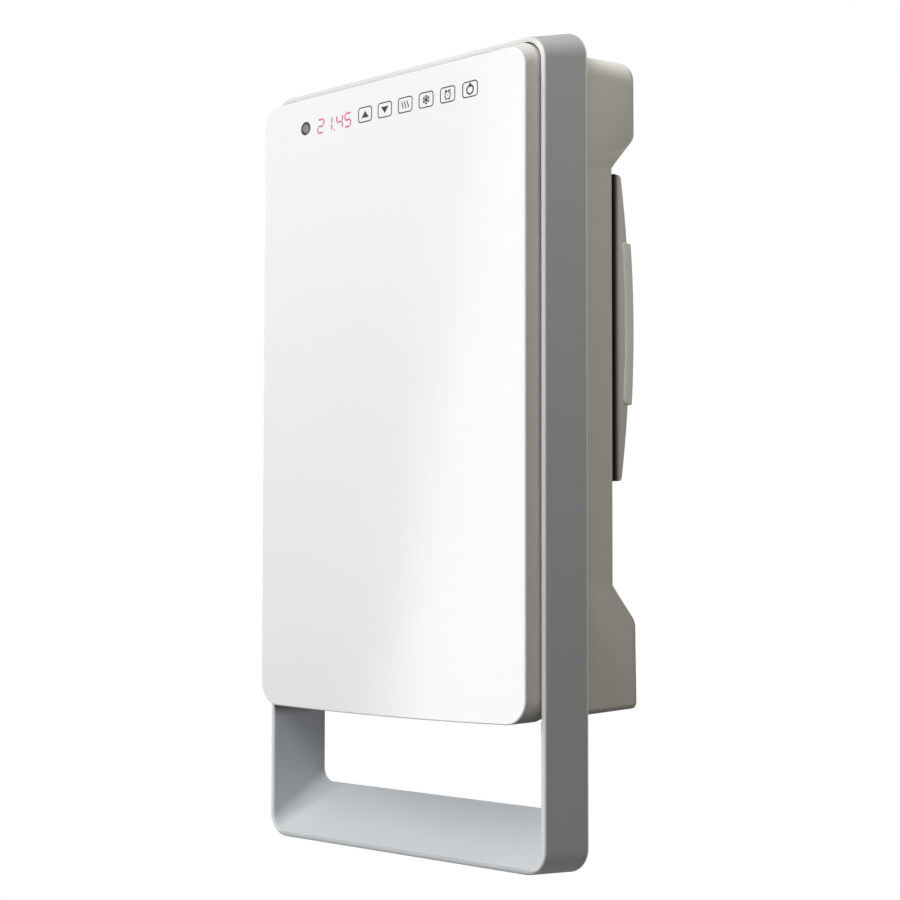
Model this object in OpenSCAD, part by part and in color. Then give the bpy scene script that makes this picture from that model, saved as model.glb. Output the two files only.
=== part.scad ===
// Bathroom wall fan heater with a towel frame. All sizes are in millimetres.
// X runs to the right as seen from the front, Y runs back into the wall and Z runs up.
// The origin is on the wall plane, midway between the two screw holes of the wall bracket.

/* [Front panel] */
// Width of the white front panel
panel_w = 282.4; // [260:0.2:300]
// Height of the white front panel
panel_h = 500; // [460:1:540]
// Radius of the panel's corners
panel_r = 20; // [12:0.5:26]
// Thickness of the panel
panel_t = 4; // [3:0.5:5]
// Thickness of the adhesive tape behind the panel
tape_t = 0.6; // [0.4:0.1:1]

/* [Body] */
// Distance from the panel's face to the wall
body_d = 147; // [140:0.5:165]
// Distance from the panel's face to the joint between front cover and rear housing
cover_d = 30; // [26:0.5:36]
// How far the rear housing stands past the panel on each side
body_lip = 1.6; // [1:0.1:3]
// Wall thickness of the plastic shells
wall_t = 2.5; // [2:0.1:3]
// Height of the housing's underside above the panel's lower edge
bottom_step = 2.2; // [2:0.2:8]
// Height of the housing's top above the panel's upper edge, at the joint
top_step = 6.7; // [4:0.1:8]
// Slope of the housing's top, in degrees
top_slope = 6.7; // [3:0.1:7]
// Radius along the housing's upper long edges
top_r = 20; // [14:0.5:24]
// Radius of the housing's upright rear edges
plan_r = 15; // [10:0.5:18]
// Depth of the recess behind the housing
recess_d = 41; // [36:0.5:44]
// Height of the lower rear foot that meets the wall
foot_h = 59; // [50:1:62]
// Height of the upper rear head that meets the wall
head_h = 55.9; // [50:0.1:60]
// Height of the slope between the recess and the foot or head
shoulder_h = 39.6; // [34:0.2:44]

/* [Towel frame] */
// Depth of the frame band, front to back
frame_d = 55; // [48:0.5:60]
// Distance from the panel's face back to the frame's front edge
frame_set = 16.2; // [12:0.2:20]
// Wall thickness of the frame band
frame_t = 3.6; // [3:0.1:4.5]
// Height of the frame's front edge above the panel
frame_rise = 10.8; // [10:0.1:14]
// Drop of the frame's front edge below the panel
frame_drop = 110.3; // [90:0.5:130]
// Slope of the frame's top, in degrees
frame_top_slope = 16.7; // [10:0.1:18]
// Slope of the frame's bottom, in degrees
frame_bot_slope = 5.7; // [2:0.1:8]
// Amount that each side of the frame leans in towards the back
side_draft = 1.7; // [0.5:0.1:2]
// Radius of the frame's outer corners
frame_r = 21.5; // [16:0.5:26]
// Rise of the towel rail's upper face from front to back
rail_rise = 38.5; // [24:0.5:44]
// Thickness of the rail liner's skin
liner_t = 2.4; // [2:0.1:3]
// Extra thickness of the frame legs' inner faces at the back
cheek_t = 3.8; // [2.6:0.1:6]

/* [Fan] */
// Diameter of the cross-flow fan wheel
fan_dia = 56; // [50:0.5:60]
// Length of the fan wheel
fan_len = 174; // [150:1:184]
// Number of blades on the fan wheel
blade_n = 28; // [20:1:34]
// Diameter of the fan shaft
shaft_dia = 6; // [5:0.5:8]
// Diameter of the motor
motor_dia = 48; // [40:1:52]
// Length of the motor
motor_len = 26; // [20:0.5:28]
// Wall thickness of the air duct
duct_t = 2; // [1.6:0.1:2.4]
// Depth of the air duct, front to back
duct_d = 50; // [44:0.5:54]

/* [Heating element] */
// Height of the heating block in the air's direction
core_h = 22; // [16:0.5:26]
// Thickness of one heating bar
bar_t = 3.6; // [3:0.1:5]
// Number of fins in one row
fin_n = 40; // [20:1:48]
// Thickness of a fin
fin_t = 0.8; // [0.6:0.1:1.2]

/* [Filter] */
// Height of the filter cassette
filter_h = 241; // [210:1:256]
// Radius of the cassette's curved back
filter_bow_r = 625; // [500:5:800]
// Gap between the housing and the filter cassette
filter_gap = 5.5; // [3:0.1:6]
// Depth of the cassette at the middle of its height
filter_bow = 20.5; // [20:0.5:24]
// Height of the grip pad
grip_h = 128; // [100:1:150]
// Width of the grip pad
grip_w = 72; // [50:1:90]
// Thickness of the grip pad
grip_t = 5.4; // [4:0.1:6]

/* [Controls] */
// Width of one touch key
key_w = 15.6; // [13:0.1:17]
// Height of one touch key
key_h = 12.6; // [10:0.1:14]
// Distance between neighbouring touch keys
key_pitch = 22.2; // [19:0.1:23]
// Number of touch keys
key_n = 6; // [3:1:6]
// Height of the key row below the panel's upper edge
key_drop = 24.4; // [22:0.2:30]
// Distance from the middle of the panel to the first key
key_first = -23; // [-26:0.5:-20]
// Distance from the middle of the panel to the sensor
sensor_x = -91.4; // [-100:0.2:-88]
// Diameter of the sensor lens
sensor_dia = 11; // [9:0.5:12]
// Width of the display
display_w = 42; // [36:0.5:44]
// Height of the display
display_h = 13; // [10:0.5:14]

/* [Wall bracket] */
// Distance between the two wall screw holes
hole_pitch = 140; // [110:1:150]
// Diameter of a wall screw hole
hole_dia = 5.5; // [4.5:0.5:6.5]
// Width of the bracket
bracket_w = 186; // [176:1:200]
// Height of the bracket
bracket_h = 28; // [24:0.5:29]
// Thickness of the bracket
bracket_t = 2.5; // [2:0.1:3]
// Distance from the panel's upper edge down to the bracket's holes
mount_drop = 12; // [11:0.5:13]
// Diameter of the power cable that the grommet takes
cable_dia = 8; // [6:0.5:9]

/* [Hidden] */

$fn = 64;
eps = 0.01;

// Clearances
seat = 0.05;        // between a screw and its hole, on the radius
run_fit = 0.05;     // between the turning shaft and its bearings, on the radius
frame_fit = 0.2;    // between the frame and the housing's sides
part_gap = 0.3;     // between pieces that only lie next to each other

// Planes of the front panel and the body
panel_y = -body_d;
top_z = mount_drop;
bot_z = top_z - panel_h;
panel_hw = panel_w/2;
cover_y = panel_y + panel_t + tape_t;
cover_in_y = cover_y + wall_t;
split_y = panel_y + cover_d;
body_hw = panel_hw + body_lip;
inner_hw = body_hw - wall_t;
recess_y = -recess_d;
inner_y = recess_y - wall_t;
body_bot = bot_z + bottom_step;
floor_z = body_bot + wall_t;
split_top = top_z + top_step;
wall_top = split_top - split_y*tan(top_slope);
recess_bot = body_bot + foot_h + shoulder_h;
recess_top = wall_top - head_h - shoulder_h;
recess_mid = (recess_bot + recess_top)/2;
foot_r = 4;         // rounding of the foot's lower rear edge
edge_r = 8;         // rounding where the slopes meet the foot and the head, and of the head's top edge

// Towel frame
frame_in = body_hw + frame_fit;
frame_hw = frame_in + frame_t;
frame_y0 = panel_y + frame_set;
frame_y1 = frame_y0 + frame_d;
frame_top = top_z + frame_rise;
frame_bot = bot_z - frame_drop;
frame_in_bot = frame_bot + frame_t/cos(frame_bot_slope);

// Fan and air duct
fan_r = fan_dia/2;
shaft_r = shaft_dia/2;
tip_gap = 3;        // between the wheel and the tongue
tongue_l = 6;       // depth of the cover's tongue in the housing
duct_room = inner_y - split_y - tongue_l - duct_d;
duct_share = 81/175; // part of the room for the duct that lies in front of it
duct_y0 = split_y + tongue_l + duct_share*duct_room;
duct_y1 = duct_y0 + duct_d;
fan_y = duct_y0 + 15;
duct_hw = fan_len/2 + 7;
scroll_x = duct_hw + duct_t;
duct_ledge = 2.5;   // rim of the housing's outlet that carries the grille
core_bot = floor_z + 14;
guide_r = duct_y1 - fan_y;
fan_z = core_bot + core_h + guide_r + 24;

// Screws
m3_r = 1.5;
m4_r = 2;
post_screw_r = 1.75;
head_flat = 0.66;   // height of a screw head, as a share of its shank's diameter

// Filter
filter_z = recess_top - 2.6 - filter_h/2;
filter_y = recess_y + filter_gap;
filter_wall = 2.4;
lip_t = 2;          // thickness of the cassette's lips and the rails' lips

// ---------- outlines ----------

function xy(p) = [p[0], p[1]];
function unit(v) = v/norm(v);

// The arc that rounds corner b of the path a, b, c with radius r, in n steps
function corner(a, b, c, r, n) =
    r <= 0 ? [b] :
    let(u = unit(a - b), v = unit(c - b), half = acos(u*v)/2, m = b + unit(u + v)*r/sin(half),
        s = b + u*r/tan(half) - m, e = b + v*r/tan(half) - m,
        a0 = atan2(s[1], s[0]), turn = atan2(e[1], e[0]) - a0,
        sweep = turn > 180 ? turn - 360 : turn < -180 ? turn + 360 : turn)
    [for (i = [0:n]) m + r*[cos(a0 + sweep*i/n), sin(a0 + sweep*i/n)]];

// A closed outline of [x, y, radius] corners, as plain points
function rounded(p, n = 5) =
    let(k = len(p))
    [for (i = [0:k - 1]) each corner(xy(p[(i + k - 1)%k]), xy(p[i]), xy(p[(i + 1)%k]), p[i][2], n)];

// The same outline drawn in by t; the corners run anticlockwise
function drawn_in(p, t) =
    let(k = len(p))
    [for (i = [0:k - 1])
        let(a = xy(p[(i + k - 1)%k]), b = xy(p[i]), c = xy(p[(i + 1)%k]),
            u = unit(b - a), v = unit(c - b), m = [-u[1], u[0]], n = [-v[1], v[0]],
            bulge = u[0]*v[1] - u[1]*v[0], q = b + (m + n)*t/(1 + m*n))
        [q[0], q[1], p[i][2] <= 0 ? 0 : bulge > 0 ? max(p[i][2] - t, 0.5) : p[i][2] + t]];

// A rectangle with round corners, centred on X and standing on its lower edge
module round_rect(w, h, r) {
    translate([-w/2, r]) square([w, h - 2*r]);
    translate([-w/2 + r, 0]) square([w - 2*r, h]);
    for (x = [-w/2 + r, w/2 - r], z = [r, h - r]) translate([x, z]) circle(r);
}

// A rectangle with two round corners at its top, which is at zero
module arch(hw, h, r) {
    translate([-hw, -h]) square([2*hw, h - r]);
    translate([-hw + r, -h]) square([2*(hw - r), h]);
    for (x = [-hw + r, hw - r]) translate([x, -r]) circle(r);
}

// Extrudes an outline of (x, z) points from y0 to y1
module along_y(y0, y1) {
    translate([0, y1, 0]) rotate([90, 0, 0]) linear_extrude(y1 - y0) children();
}

// Extrudes an outline of (y, z) points over a width w that is centred on x
module along_x(w, x = 0) {
    translate([x, 0, 0]) rotate([90, 0, 90]) linear_extrude(w, center = true) children();
}

// Extrudes an outline of (x, z) points along a slope that starts at height z in plane y
module along_slope(y, z, slope, back, ahead) {
    translate([0, y, z]) rotate([slope, 0, 0]) along_y(-back, ahead) children();
}

module box(x, y, z) {
    translate([x[0], y[0], z[0]]) cube([x[1] - x[0], y[1] - y[0], z[1] - z[0]]);
}

// A rod of radius r along Y from y0 to y1
module rod_y(x, z, r, y0, y1) {
    translate([x, y1, z]) rotate([90, 0, 0]) cylinder(r = r, h = y1 - y0);
}

// A rod of radius r along X from x0 to x1
module rod_x(y, z, r, x0, x1) {
    translate([x0, y, z]) rotate([0, 90, 0]) cylinder(r = r, h = x1 - x0);
}

// A pan-head screw of shank radius r and length l; its seat is at the origin and it points along +Z
module screw(r, l) {
    translate([0, 0, -eps]) cylinder(r = r, h = l + eps);
    translate([0, 0, -2*r*head_flat]) difference() {
        cylinder(r = 1.9*r, h = 2*r*head_flat);
        for (a = [0, 90]) rotate([0, 0, a]) translate([-1.1*r, -0.2*r, -eps]) cube([2.2*r, 0.4*r, 0.7*r]);
    }
}

// A round lead of radius r along the points p
module lead(p, r) {
    for (i = [0:len(p) - 2]) {
        d = p[i + 1] - p[i];
        a = i > 0 ? 0.4*r : 0;
        b = i < len(p) - 2 ? 0.4*r : 0;
        translate(p[i]) rotate([0, acos(d[2]/norm(d)), atan2(d[1], d[0])]) translate([0, 0, -a])
            cylinder(r = r, h = norm(d) + a + b, $fn = 10);
    }
}

// ---------- front panel and cover ----------

key_z = top_z - key_drop;
lens_r = sensor_dia/2;

module front_panel() {
    color("white") difference() {
        along_y(panel_y, panel_y + panel_t) translate([0, bot_z]) round_rect(panel_w, panel_h, panel_r);
        rod_y(sensor_x, key_z, lens_r + seat, panel_y - 1, panel_y + panel_t + 1);
    }
}

tape_in = 4;
tape_w = 8;

module panel_tape() {
    color("dimgray") along_y(panel_y + panel_t, cover_y) difference() {
        translate([0, bot_z + tape_in])
            round_rect(panel_w - 2*tape_in, panel_h - 2*tape_in, panel_r - tape_in);
        translate([0, bot_z + tape_in + tape_w])
            round_rect(panel_w - 2*(tape_in + tape_w), panel_h - 2*(tape_in + tape_w), 4);
    }
}

// Window in the cover behind the display, keys and sensor
window_hw = 12.8 - sensor_x;
window_z0 = key_z - 15;
window_z1 = key_z + 13;

// Touch board, seated on the cover's inner face
touch_t = 1.6;
touch_screw_x = window_hw + 6;
touch_hw = touch_screw_x + 5;
touch_z0 = window_z0 - 4;
touch_z1 = window_z1 + 4;
touch_bite = 1.8;

// Posts for the screws that hold the cover to the housing
post_x = body_hw - 16;
post_r = 5;
post_z = [recess_bot + 50, recess_mid, recess_top - 32];
post_y = split_y + 10;
post_bite = 14;
boss_r = 7;
boss_floor = 5;

// Power board on four standoffs
stand_r = 3.4;
board_t = 1.6;
board_y = cover_in_y + 12;
board_w = 150;
board_h = 118;
board_x = -28;
board_z = recess_mid + 30;
board_bite = 7;
board_corners = [for (x = [-1, 1], z = [-1, 1]) [board_x + x*(board_w/2 - 6), board_z + z*(board_h/2 - 6)]];

tongue_t = 1.6;

// A rounded outline that fits inside the joint of the two shells, drawn in by t
module tongue_outline(t) {
    w = 2*(inner_hw - part_gap - t);
    z0 = floor_z + part_gap + t;
    translate([0, z0]) round_rect(w, top_z - wall_t - t - z0, panel_r - wall_t - t);
}

module front_cover() {
    color("tan") difference() {
        union() {
            difference() {
                along_y(cover_y, split_y - part_gap) translate([0, bot_z]) round_rect(panel_w, panel_h, panel_r);
                along_y(cover_in_y, split_y + 1) translate([0, bot_z + wall_t])
                    round_rect(panel_w - 2*wall_t, panel_h - 2*wall_t, panel_r - wall_t);
            }
            difference() {
                union() {
                    along_y(split_y - 4, split_y + tongue_l) tongue_outline(0);
                    along_y(split_y - 4, split_y - part_gap) translate([0, bot_z + 1])
                        round_rect(panel_w - 2, panel_h - 2, panel_r - 1);
                }
                along_y(split_y - 5, split_y + tongue_l + 1) tongue_outline(tongue_t + body_lip);
            }
            for (s = [-1, 1], z = post_z) rod_y(s*post_x, z, post_r, cover_in_y - eps, post_y - part_gap);
            for (p = board_corners) rod_y(p[0], p[1], stand_r, cover_in_y - eps, board_y);
        }
        box([-window_hw, window_hw], [cover_y - 1, cover_in_y + 1], [window_z0, window_z1]);
        for (s = [-1, 1], z = post_z) rod_y(s*post_x, z, post_screw_r + seat, post_y - post_bite, post_y + 1);
        for (p = board_corners) rod_y(p[0], p[1], m3_r + seat, board_y - board_bite, board_y + 1);
        for (s = [-1, 1]) rod_y(s*touch_screw_x, key_z, m3_r + seat, cover_in_y - touch_bite, cover_in_y + 1);
    }
}

// ---------- rear housing ----------

// The housing's side outline, with its open front moved forward by ahead
function body_side(ahead) =
    [[split_y - ahead, body_bot, 0], [0, body_bot, foot_r], [0, body_bot + foot_h, edge_r],
     [recess_y, recess_bot, 0], [recess_y, recess_top, 0], [0, wall_top - head_h, edge_r],
     [0, wall_top, edge_r], [split_y - ahead, split_top - ahead*tan(top_slope), 0]];

// The housing's outer form drawn in by t, with its open front moved forward by ahead
module body_form(t, ahead) {
    hw = body_hw - t;
    front = split_y - ahead;
    intersection() {
        along_x(2*body_hw + 10) polygon(rounded(drawn_in(body_side(ahead + t), t)));
        union() {
            along_slope(split_y, split_top, top_slope, ahead + 20, body_d)
                translate([0, -t]) arch(hw, 60, top_r - t);
            box([-hw, hw], [front - 1, 1], [body_bot - 1, split_top - top_r - 20]);
        }
        translate([0, 0, body_bot - 2]) linear_extrude(wall_top - body_bot + 4) polygon(rounded([
            [-hw, front - 2, 0], [hw, front - 2, 0], [hw, -t, plan_r - t], [-hw, -t, plan_r - t]]));
    }
}

// Air inlet behind the filter
inlet_hw = panel_hw - 31;
inlet_hh = filter_h/2 - 36;

// Pocket and hooks for the wall bracket
pocket_d = 7;
pocket_hw = bracket_w/2 + 2;
pocket_hh = bracket_h/2 + 1.5;
hook_x = 35;
hook_hw = 11;
hook_t = 2.5;
hook_top = -1.5;
hook_lip = 5;
hook_y = -pocket_d - wall_t - 1;

// Pocket for the power cable, open at the underside
cable_x = -98;
cable_z = body_bot + 28;
cable_hw = 16;
cable_d = 12;
neck_r = cable_dia/2 + 3.4;

// Screws that hold the frame to the housing's sides
frame_screw_y = frame_y0 + 34;
frame_screw_z = [recess_bot + 10, recess_top - 10];
frame_bite = 1.4;

// Screws that hold the duct
ear_x = scroll_x + 9;
ear_hw = 7;
ear_z = fan_z + 22;
ear_t = 3;
ear_y = duct_y1 + duct_t;
ear_boss_r = 4;

// Rails that the cassette's lips slide behind, one above and one below the inlet
rail_hw = body_hw - 6;
rail_in = filter_h/2 - filter_wall - 8.5;

module filter_rails() {
    for (s = [-1, 1]) translate([0, 0, filter_z]) mirror([0, 0, s < 0 ? 1 : 0]) {
        box([-rail_hw, rail_hw], [recess_y - eps, filter_y + lip_t + part_gap + lip_t], [rail_in, rail_in + 2.5]);
        box([-rail_hw, rail_hw], [filter_y + lip_t + part_gap, filter_y + 2*lip_t + part_gap],
            [rail_in, filter_h/2 - filter_wall - 0.6]);
    }
}

module rear_housing() {
    color("tan") difference() {
        union() {
            difference() {
                body_form(0, 0);
                body_form(wall_t, 1);
            }
            difference() {
                intersection() {
                    body_form(0.5, 0);
                    box([-body_hw, body_hw], [split_y, split_y + wall_t], [body_bot, wall_top]);
                }
                along_y(split_y - 1, split_y + wall_t + 1) tongue_outline(-part_gap);
            }
            intersection() {
                body_form(0.5, 0);
                union() {
                    box([-pocket_hw - wall_t, pocket_hw + wall_t], [-pocket_d - wall_t, -0.6],
                        [-pocket_hh - wall_t, pocket_hh + wall_t]);
                    box([cable_x - cable_hw - wall_t, cable_x + cable_hw + wall_t],
                        [-cable_d - wall_t, -0.6], [body_bot + 0.6, cable_z + cable_hw + wall_t]);
                }
            }
            for (s = [-1, 1], z = post_z) rod_y(s*post_x, z, boss_r, post_y, recess_y - 1);
            for (s = [-1, 1]) rod_y(s*ear_x, ear_z, ear_boss_r, ear_y, inner_y + 1);
            filter_rails();
        }
        box([-pocket_hw, pocket_hw], [-pocket_d, 1], [-pocket_hh, pocket_hh]);
        for (s = [-1, 1]) box([s*hook_x - hook_hw - 2, s*hook_x + hook_hw + 2],
            [-pocket_d - wall_t - 1, -pocket_d + 1], [hook_top - hook_t - hook_lip - 1, hook_top + 0.1]);
        box([cable_x - cable_hw, cable_x + cable_hw], [-cable_d, 1], [body_bot - 1, cable_z + cable_hw]);
        rod_y(cable_x, cable_z, neck_r + seat, -cable_d - wall_t - 1, -cable_d + 1);
        box([-duct_hw + duct_ledge, duct_hw - duct_ledge], [duct_y0 + duct_ledge, duct_y1 - duct_ledge],
            [body_bot - 1, floor_z + 1]);
        box([-inlet_hw, inlet_hw], [inner_y - 1, recess_y + 1], [filter_z - inlet_hh, filter_z + inlet_hh]);
        for (s = [-1, 1], z = post_z) {
            rod_y(s*post_x, z, post_screw_r + 0.2, post_y - 1, post_y + boss_floor + 1);
            rod_y(s*post_x, z, boss_r - 2.2, post_y + boss_floor, recess_y + 1);
        }
        for (s = [-1, 1], z = frame_screw_z)
            rod_x(frame_screw_y, z, m4_r + seat, s*(body_hw - wall_t/2) - wall_t, s*(body_hw - wall_t/2) + wall_t);
        for (s = [-1, 1]) rod_y(s*ear_x, ear_z, m3_r + seat, ear_y - 1, inner_y + 1);
    }
}

// ---------- towel frame ----------

// The solid inside the frame's outer face drawn in by t, and lengthened at both ends by more
module wrap_form(t, more) {
    hw = frame_hw - t;
    r = frame_r - t;
    leg = frame_top - frame_bot + 60;
    intersection() {
        along_slope(frame_y0, frame_top, frame_top_slope, leg/2, leg/2) translate([0, -t]) arch(hw, leg + 100, r);
        along_slope(frame_y0, frame_bot, -frame_bot_slope, leg/2, leg/2)
            translate([0, t]) mirror([0, 1]) arch(hw, leg, r);
        box([-hw - 5, hw + 5], [frame_y0 - more, frame_y1 + more], [frame_bot - 40, frame_top + 40]);
    }
}

// What the draft of the frame's two sides takes off
module side_trim() {
    for (s = [0, 1]) mirror([s, 0, 0]) translate([frame_hw - 0.02, frame_y0, frame_bot - 60])
        rotate([0, 0, atan(side_draft/frame_d)]) translate([0, -20, 0])
            cube([20, frame_d + 40, frame_top - frame_bot + 120]);
}

module towel_frame() {
    color("lightgray") difference() {
        wrap_form(0, 0);
        wrap_form(frame_t, 1);
        side_trim();
        for (s = [-1, 1], z = frame_screw_z)
            rod_x(frame_screw_y, z, m4_r + seat, s*frame_in - frame_bite - 0.1, s*frame_in + frame_bite + 0.1);
    }
}

liner_fit = 0.1;
rail_front = frame_in_bot + 0.4;
rail_back = rail_front + rail_rise;
liner_side = [[frame_y0 + 0.8, frame_in_bot - 12, 0], [frame_y1, frame_in_bot - 22, 0],
              [frame_y1, rail_back, 3], [frame_y0 + 0.8, rail_front, 0]];

module rail_liner() {
    hw = frame_in - liner_fit;
    color("lightgray") {
        difference() {
            intersection() {
                wrap_form(frame_t + liner_fit, 0);
                along_x(2*hw + 10) polygon(rounded(liner_side));
            }
            along_x(2*(hw - liner_t)) polygon(rounded(drawn_in(liner_side, liner_t)));
        }
        intersection() {
            wrap_form(frame_t + liner_fit, 0);
            for (s = [0, 1]) mirror([s, 0, 0]) translate([0, 0, frame_bot])
                linear_extrude(body_bot - part_gap - frame_bot)
                    polygon([[hw + 1, frame_y0 + 0.8], [hw + 1, frame_y1], [hw - cheek_t, frame_y1],
                             [hw - 0.6, frame_y0 + 0.8]]);
        }
    }
}

// ---------- screws of the shells ----------

module frame_screws() {
    color("silver") for (s = [-1, 1], z = frame_screw_z)
        translate([s*inner_hw, frame_screw_y, z]) rotate([0, s*90, 0]) screw(m4_r, wall_t + frame_fit + frame_bite);
}

module cover_screws() {
    color("silver") for (s = [-1, 1], z = post_z)
        translate([s*post_x, post_y + boss_floor, z]) rotate([90, 0, 0])
            screw(post_screw_r, boss_floor + post_bite - 1);
}

// ---------- grilles ----------

slat_pitch = 7;

module outlet_grille() {
    hw = duct_hw - duct_ledge - part_gap;
    y0 = duct_y0 + duct_ledge + part_gap;
    y1 = duct_y1 - duct_ledge - part_gap;
    rim = 1.8;
    top = floor_z + 1.6;
    slat_n = floor((y1 - y0 - 2*rim)/slat_pitch);
    color("gray") {
        difference() {
            union() {
                box([-hw, hw], [y0, y1], [body_bot, top]);
                box([-duct_hw + part_gap, duct_hw - part_gap], [duct_y0 + part_gap, duct_y1 - part_gap],
                    [floor_z, top]);
            }
            box([-hw + rim, hw - rim], [y0 + rim, y1 - rim], [body_bot - 1, top + 1]);
        }
        for (i = [1:slat_n]) let(y = y0 + (y1 - y0)*i/(slat_n + 1))
            along_x(2*hw - rim) polygon([[y - 0.7, body_bot + 0.3], [y + 0.5, body_bot + 0.3],
                                         [y + 2, top - 0.3], [y + 0.8, top - 0.3]]);
        for (i = [-2:2]) box([i*hw/3 - 0.8, i*hw/3 + 0.8], [y0 + 0.5, y1 - 0.5], [body_bot + 0.8, top - 0.8]);
    }
}

inlet_cols = 5;
inlet_bar = 2.4;
inlet_row_h = 9;

module inlet_grille() {
    hw = inlet_hw - part_gap;
    hh = inlet_hh - part_gap;
    flange = 3;
    rows = floor((2*hh - inlet_bar)/(inlet_row_h + inlet_bar));
    col_w = (2*hw - inlet_bar)/inlet_cols;
    row_h = (2*hh - inlet_bar)/rows;
    color("gray") translate([0, 0, filter_z]) difference() {
        union() {
            box([-hw, hw], [inner_y - 1.5, recess_y], [-hh, hh]);
            box([-hw - flange, hw + flange], [inner_y - 1.5, inner_y], [-hh - flange, hh + flange]);
        }
        for (i = [0:inlet_cols - 1], j = [0:rows - 1])
            box([-hw + inlet_bar + i*col_w, -hw + (i + 1)*col_w], [inner_y - 3, recess_y + 1],
                [-hh + inlet_bar + j*row_h, -hh + (j + 1)*row_h]);
    }
}

// ---------- filter ----------

filter_hw = panel_hw;
bow_y = recess_y + filter_gap + filter_bow;
bow_fn = 720;

// The cassette's side outline, with its curved back at radius r and its ends drawn in by t
module bow_outline(r, y0, t) {
    intersection() {
        translate([y0, filter_z - filter_h/2 + t]) square([bow_y - y0 + 10, filter_h - 2*t]);
        translate([bow_y - filter_bow_r, filter_z]) circle(r = r, $fn = bow_fn);
    }
}

slot_h = 6;
slot_step = 15;
slot_n = floor((filter_h - 36)/slot_step);

module filter_cassette() {
    lip_z = filter_h/2 - filter_wall - 5.2;
    color("tan") {
        difference() {
            along_x(2*filter_hw) bow_outline(filter_bow_r, filter_y, 0);
            along_x(2*filter_hw, -filter_wall) bow_outline(filter_bow_r - filter_wall, filter_y - 1, filter_wall);
            for (i = [0:slot_n - 1], x = [[-filter_hw + 14, -36], [-28, 50]])
                translate([0, 0, filter_z + (i - (slot_n - 1)/2)*slot_step])
                    box(x, [filter_y - 1, bow_y + 1], [-slot_h/2, slot_h/2]);
        }
        for (s = [0, 1]) translate([0, 0, filter_z]) mirror([0, 0, s])
            box([-filter_hw, filter_hw - 1], [filter_y, filter_y + lip_t], [lip_z, filter_h/2 - 1]);
    }
}

mesh_y = filter_y + 2*lip_t + 1;
mesh_t = 1.2;

module filter_mesh() {
    hh = filter_h/2 - filter_wall - part_gap;
    color("darkslategray") translate([0, 0, filter_z]) difference() {
        box([-filter_hw + 1, filter_hw - filter_wall - part_gap], [mesh_y, mesh_y + mesh_t], [-hh, hh]);
        for (i = [0:9], j = [0:7]) let(w = 2*filter_hw/10 - 4, h = 2*hh/8 - 4)
            box([-filter_hw + 6 + i*(w + 3.4), -filter_hw + 6 + i*(w + 3.4) + w], [mesh_y + 0.6, mesh_y + mesh_t + 1],
                [-hh + 4 + j*(h + 3.4), -hh + 4 + j*(h + 3.4) + h]);
    }
}

grip_up = 4;
grip_end_t = 0.8;   // thickness of the grip's end plate
grip_end_d = 7;     // depth that the end plate covers of the cassette's end

// The grip's side outline, between the radii r0 and r1 about the centre of the cassette's curved back
module grip_outline(r0, r1) {
    difference() {
        intersection() {
            translate([bow_y - 20, filter_z + grip_up - grip_h/2]) square([60, grip_h]);
            translate([bow_y - filter_bow_r, filter_z]) circle(r = r1, $fn = bow_fn);
        }
        translate([bow_y - filter_bow_r, filter_z]) circle(r = r0, $fn = bow_fn);
    }
}

module filter_grip() {
    color("wheat") {
        along_x(grip_w + seat, filter_hw - grip_w/2 + seat/2)
            grip_outline(filter_bow_r + seat, filter_bow_r + grip_t);
        along_x(grip_end_t, filter_hw + seat + grip_end_t/2)
            grip_outline(filter_bow_r - grip_end_d, filter_bow_r + grip_t);
    }
}

// ---------- wall bracket and cable entry ----------

module wall_bracket() {
    color("silver") {
        difference() {
            box([-bracket_w/2, bracket_w/2], [-bracket_t, 0], [-bracket_h/2, bracket_h/2]);
            for (s = [-1, 1]) rod_y(s*hole_pitch/2, 0, hole_dia/2, -bracket_t - 1, 1);
        }
        for (s = [-1, 1]) {
            box([s*hook_x - hook_hw, s*hook_x + hook_hw], [hook_y - hook_t, -bracket_t + eps],
                [hook_top - hook_t, hook_top]);
            box([s*hook_x - hook_hw, s*hook_x + hook_hw], [hook_y - hook_t, hook_y],
                [hook_top - hook_t, hook_top + hook_lip]);
        }
    }
}

grommet_lip = 1.8;

module cable_grommet() {
    y0 = -cable_d - wall_t;
    color("dimgray") difference() {
        union() {
            rod_y(cable_x, cable_z, neck_r, y0 - 0.1, -cable_d + 0.1);
            rod_y(cable_x, cable_z, neck_r + 2.2, -cable_d, -cable_d + grommet_lip);
            rod_y(cable_x, cable_z, neck_r + 2.2, y0 - grommet_lip, y0);
        }
        rod_y(cable_x, cable_z, cable_dia/2, y0 - 5, -cable_d + 5);
    }
}

block_hw = 14;
block_y0 = -cable_d - wall_t - 34;
block_h = 15;

module terminal_block() {
    color("whitesmoke") difference() {
        union() {
            box([cable_x - block_hw, cable_x + block_hw], [block_y0, block_y0 + 18], [floor_z, floor_z + block_h - 4]);
            for (i = [-1:1]) box([cable_x + i*9 - 3.6, cable_x + i*9 + 3.6], [block_y0 + 2, block_y0 + 16],
                [floor_z + 1, floor_z + block_h]);
        }
        for (i = [-1:1], y = [block_y0 + 5, block_y0 + 13])
            translate([cable_x + i*9, y, floor_z + block_h - 5]) cylinder(r = 1.7, h = 6);
    }
}

// ---------- fan and duct ----------

guide_end = 120;
tongue_a = 215;

// A point on the fan's side plane at angle a and radius r
function fan_at(a, r) = [fan_y + r*cos(a), fan_z + r*sin(a)];

// The guide draws in from the duct's rear wall to the wheel's running gap
function guide_at(a) = guide_r + (fan_r + tip_gap - guide_r)*a/guide_end;

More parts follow.
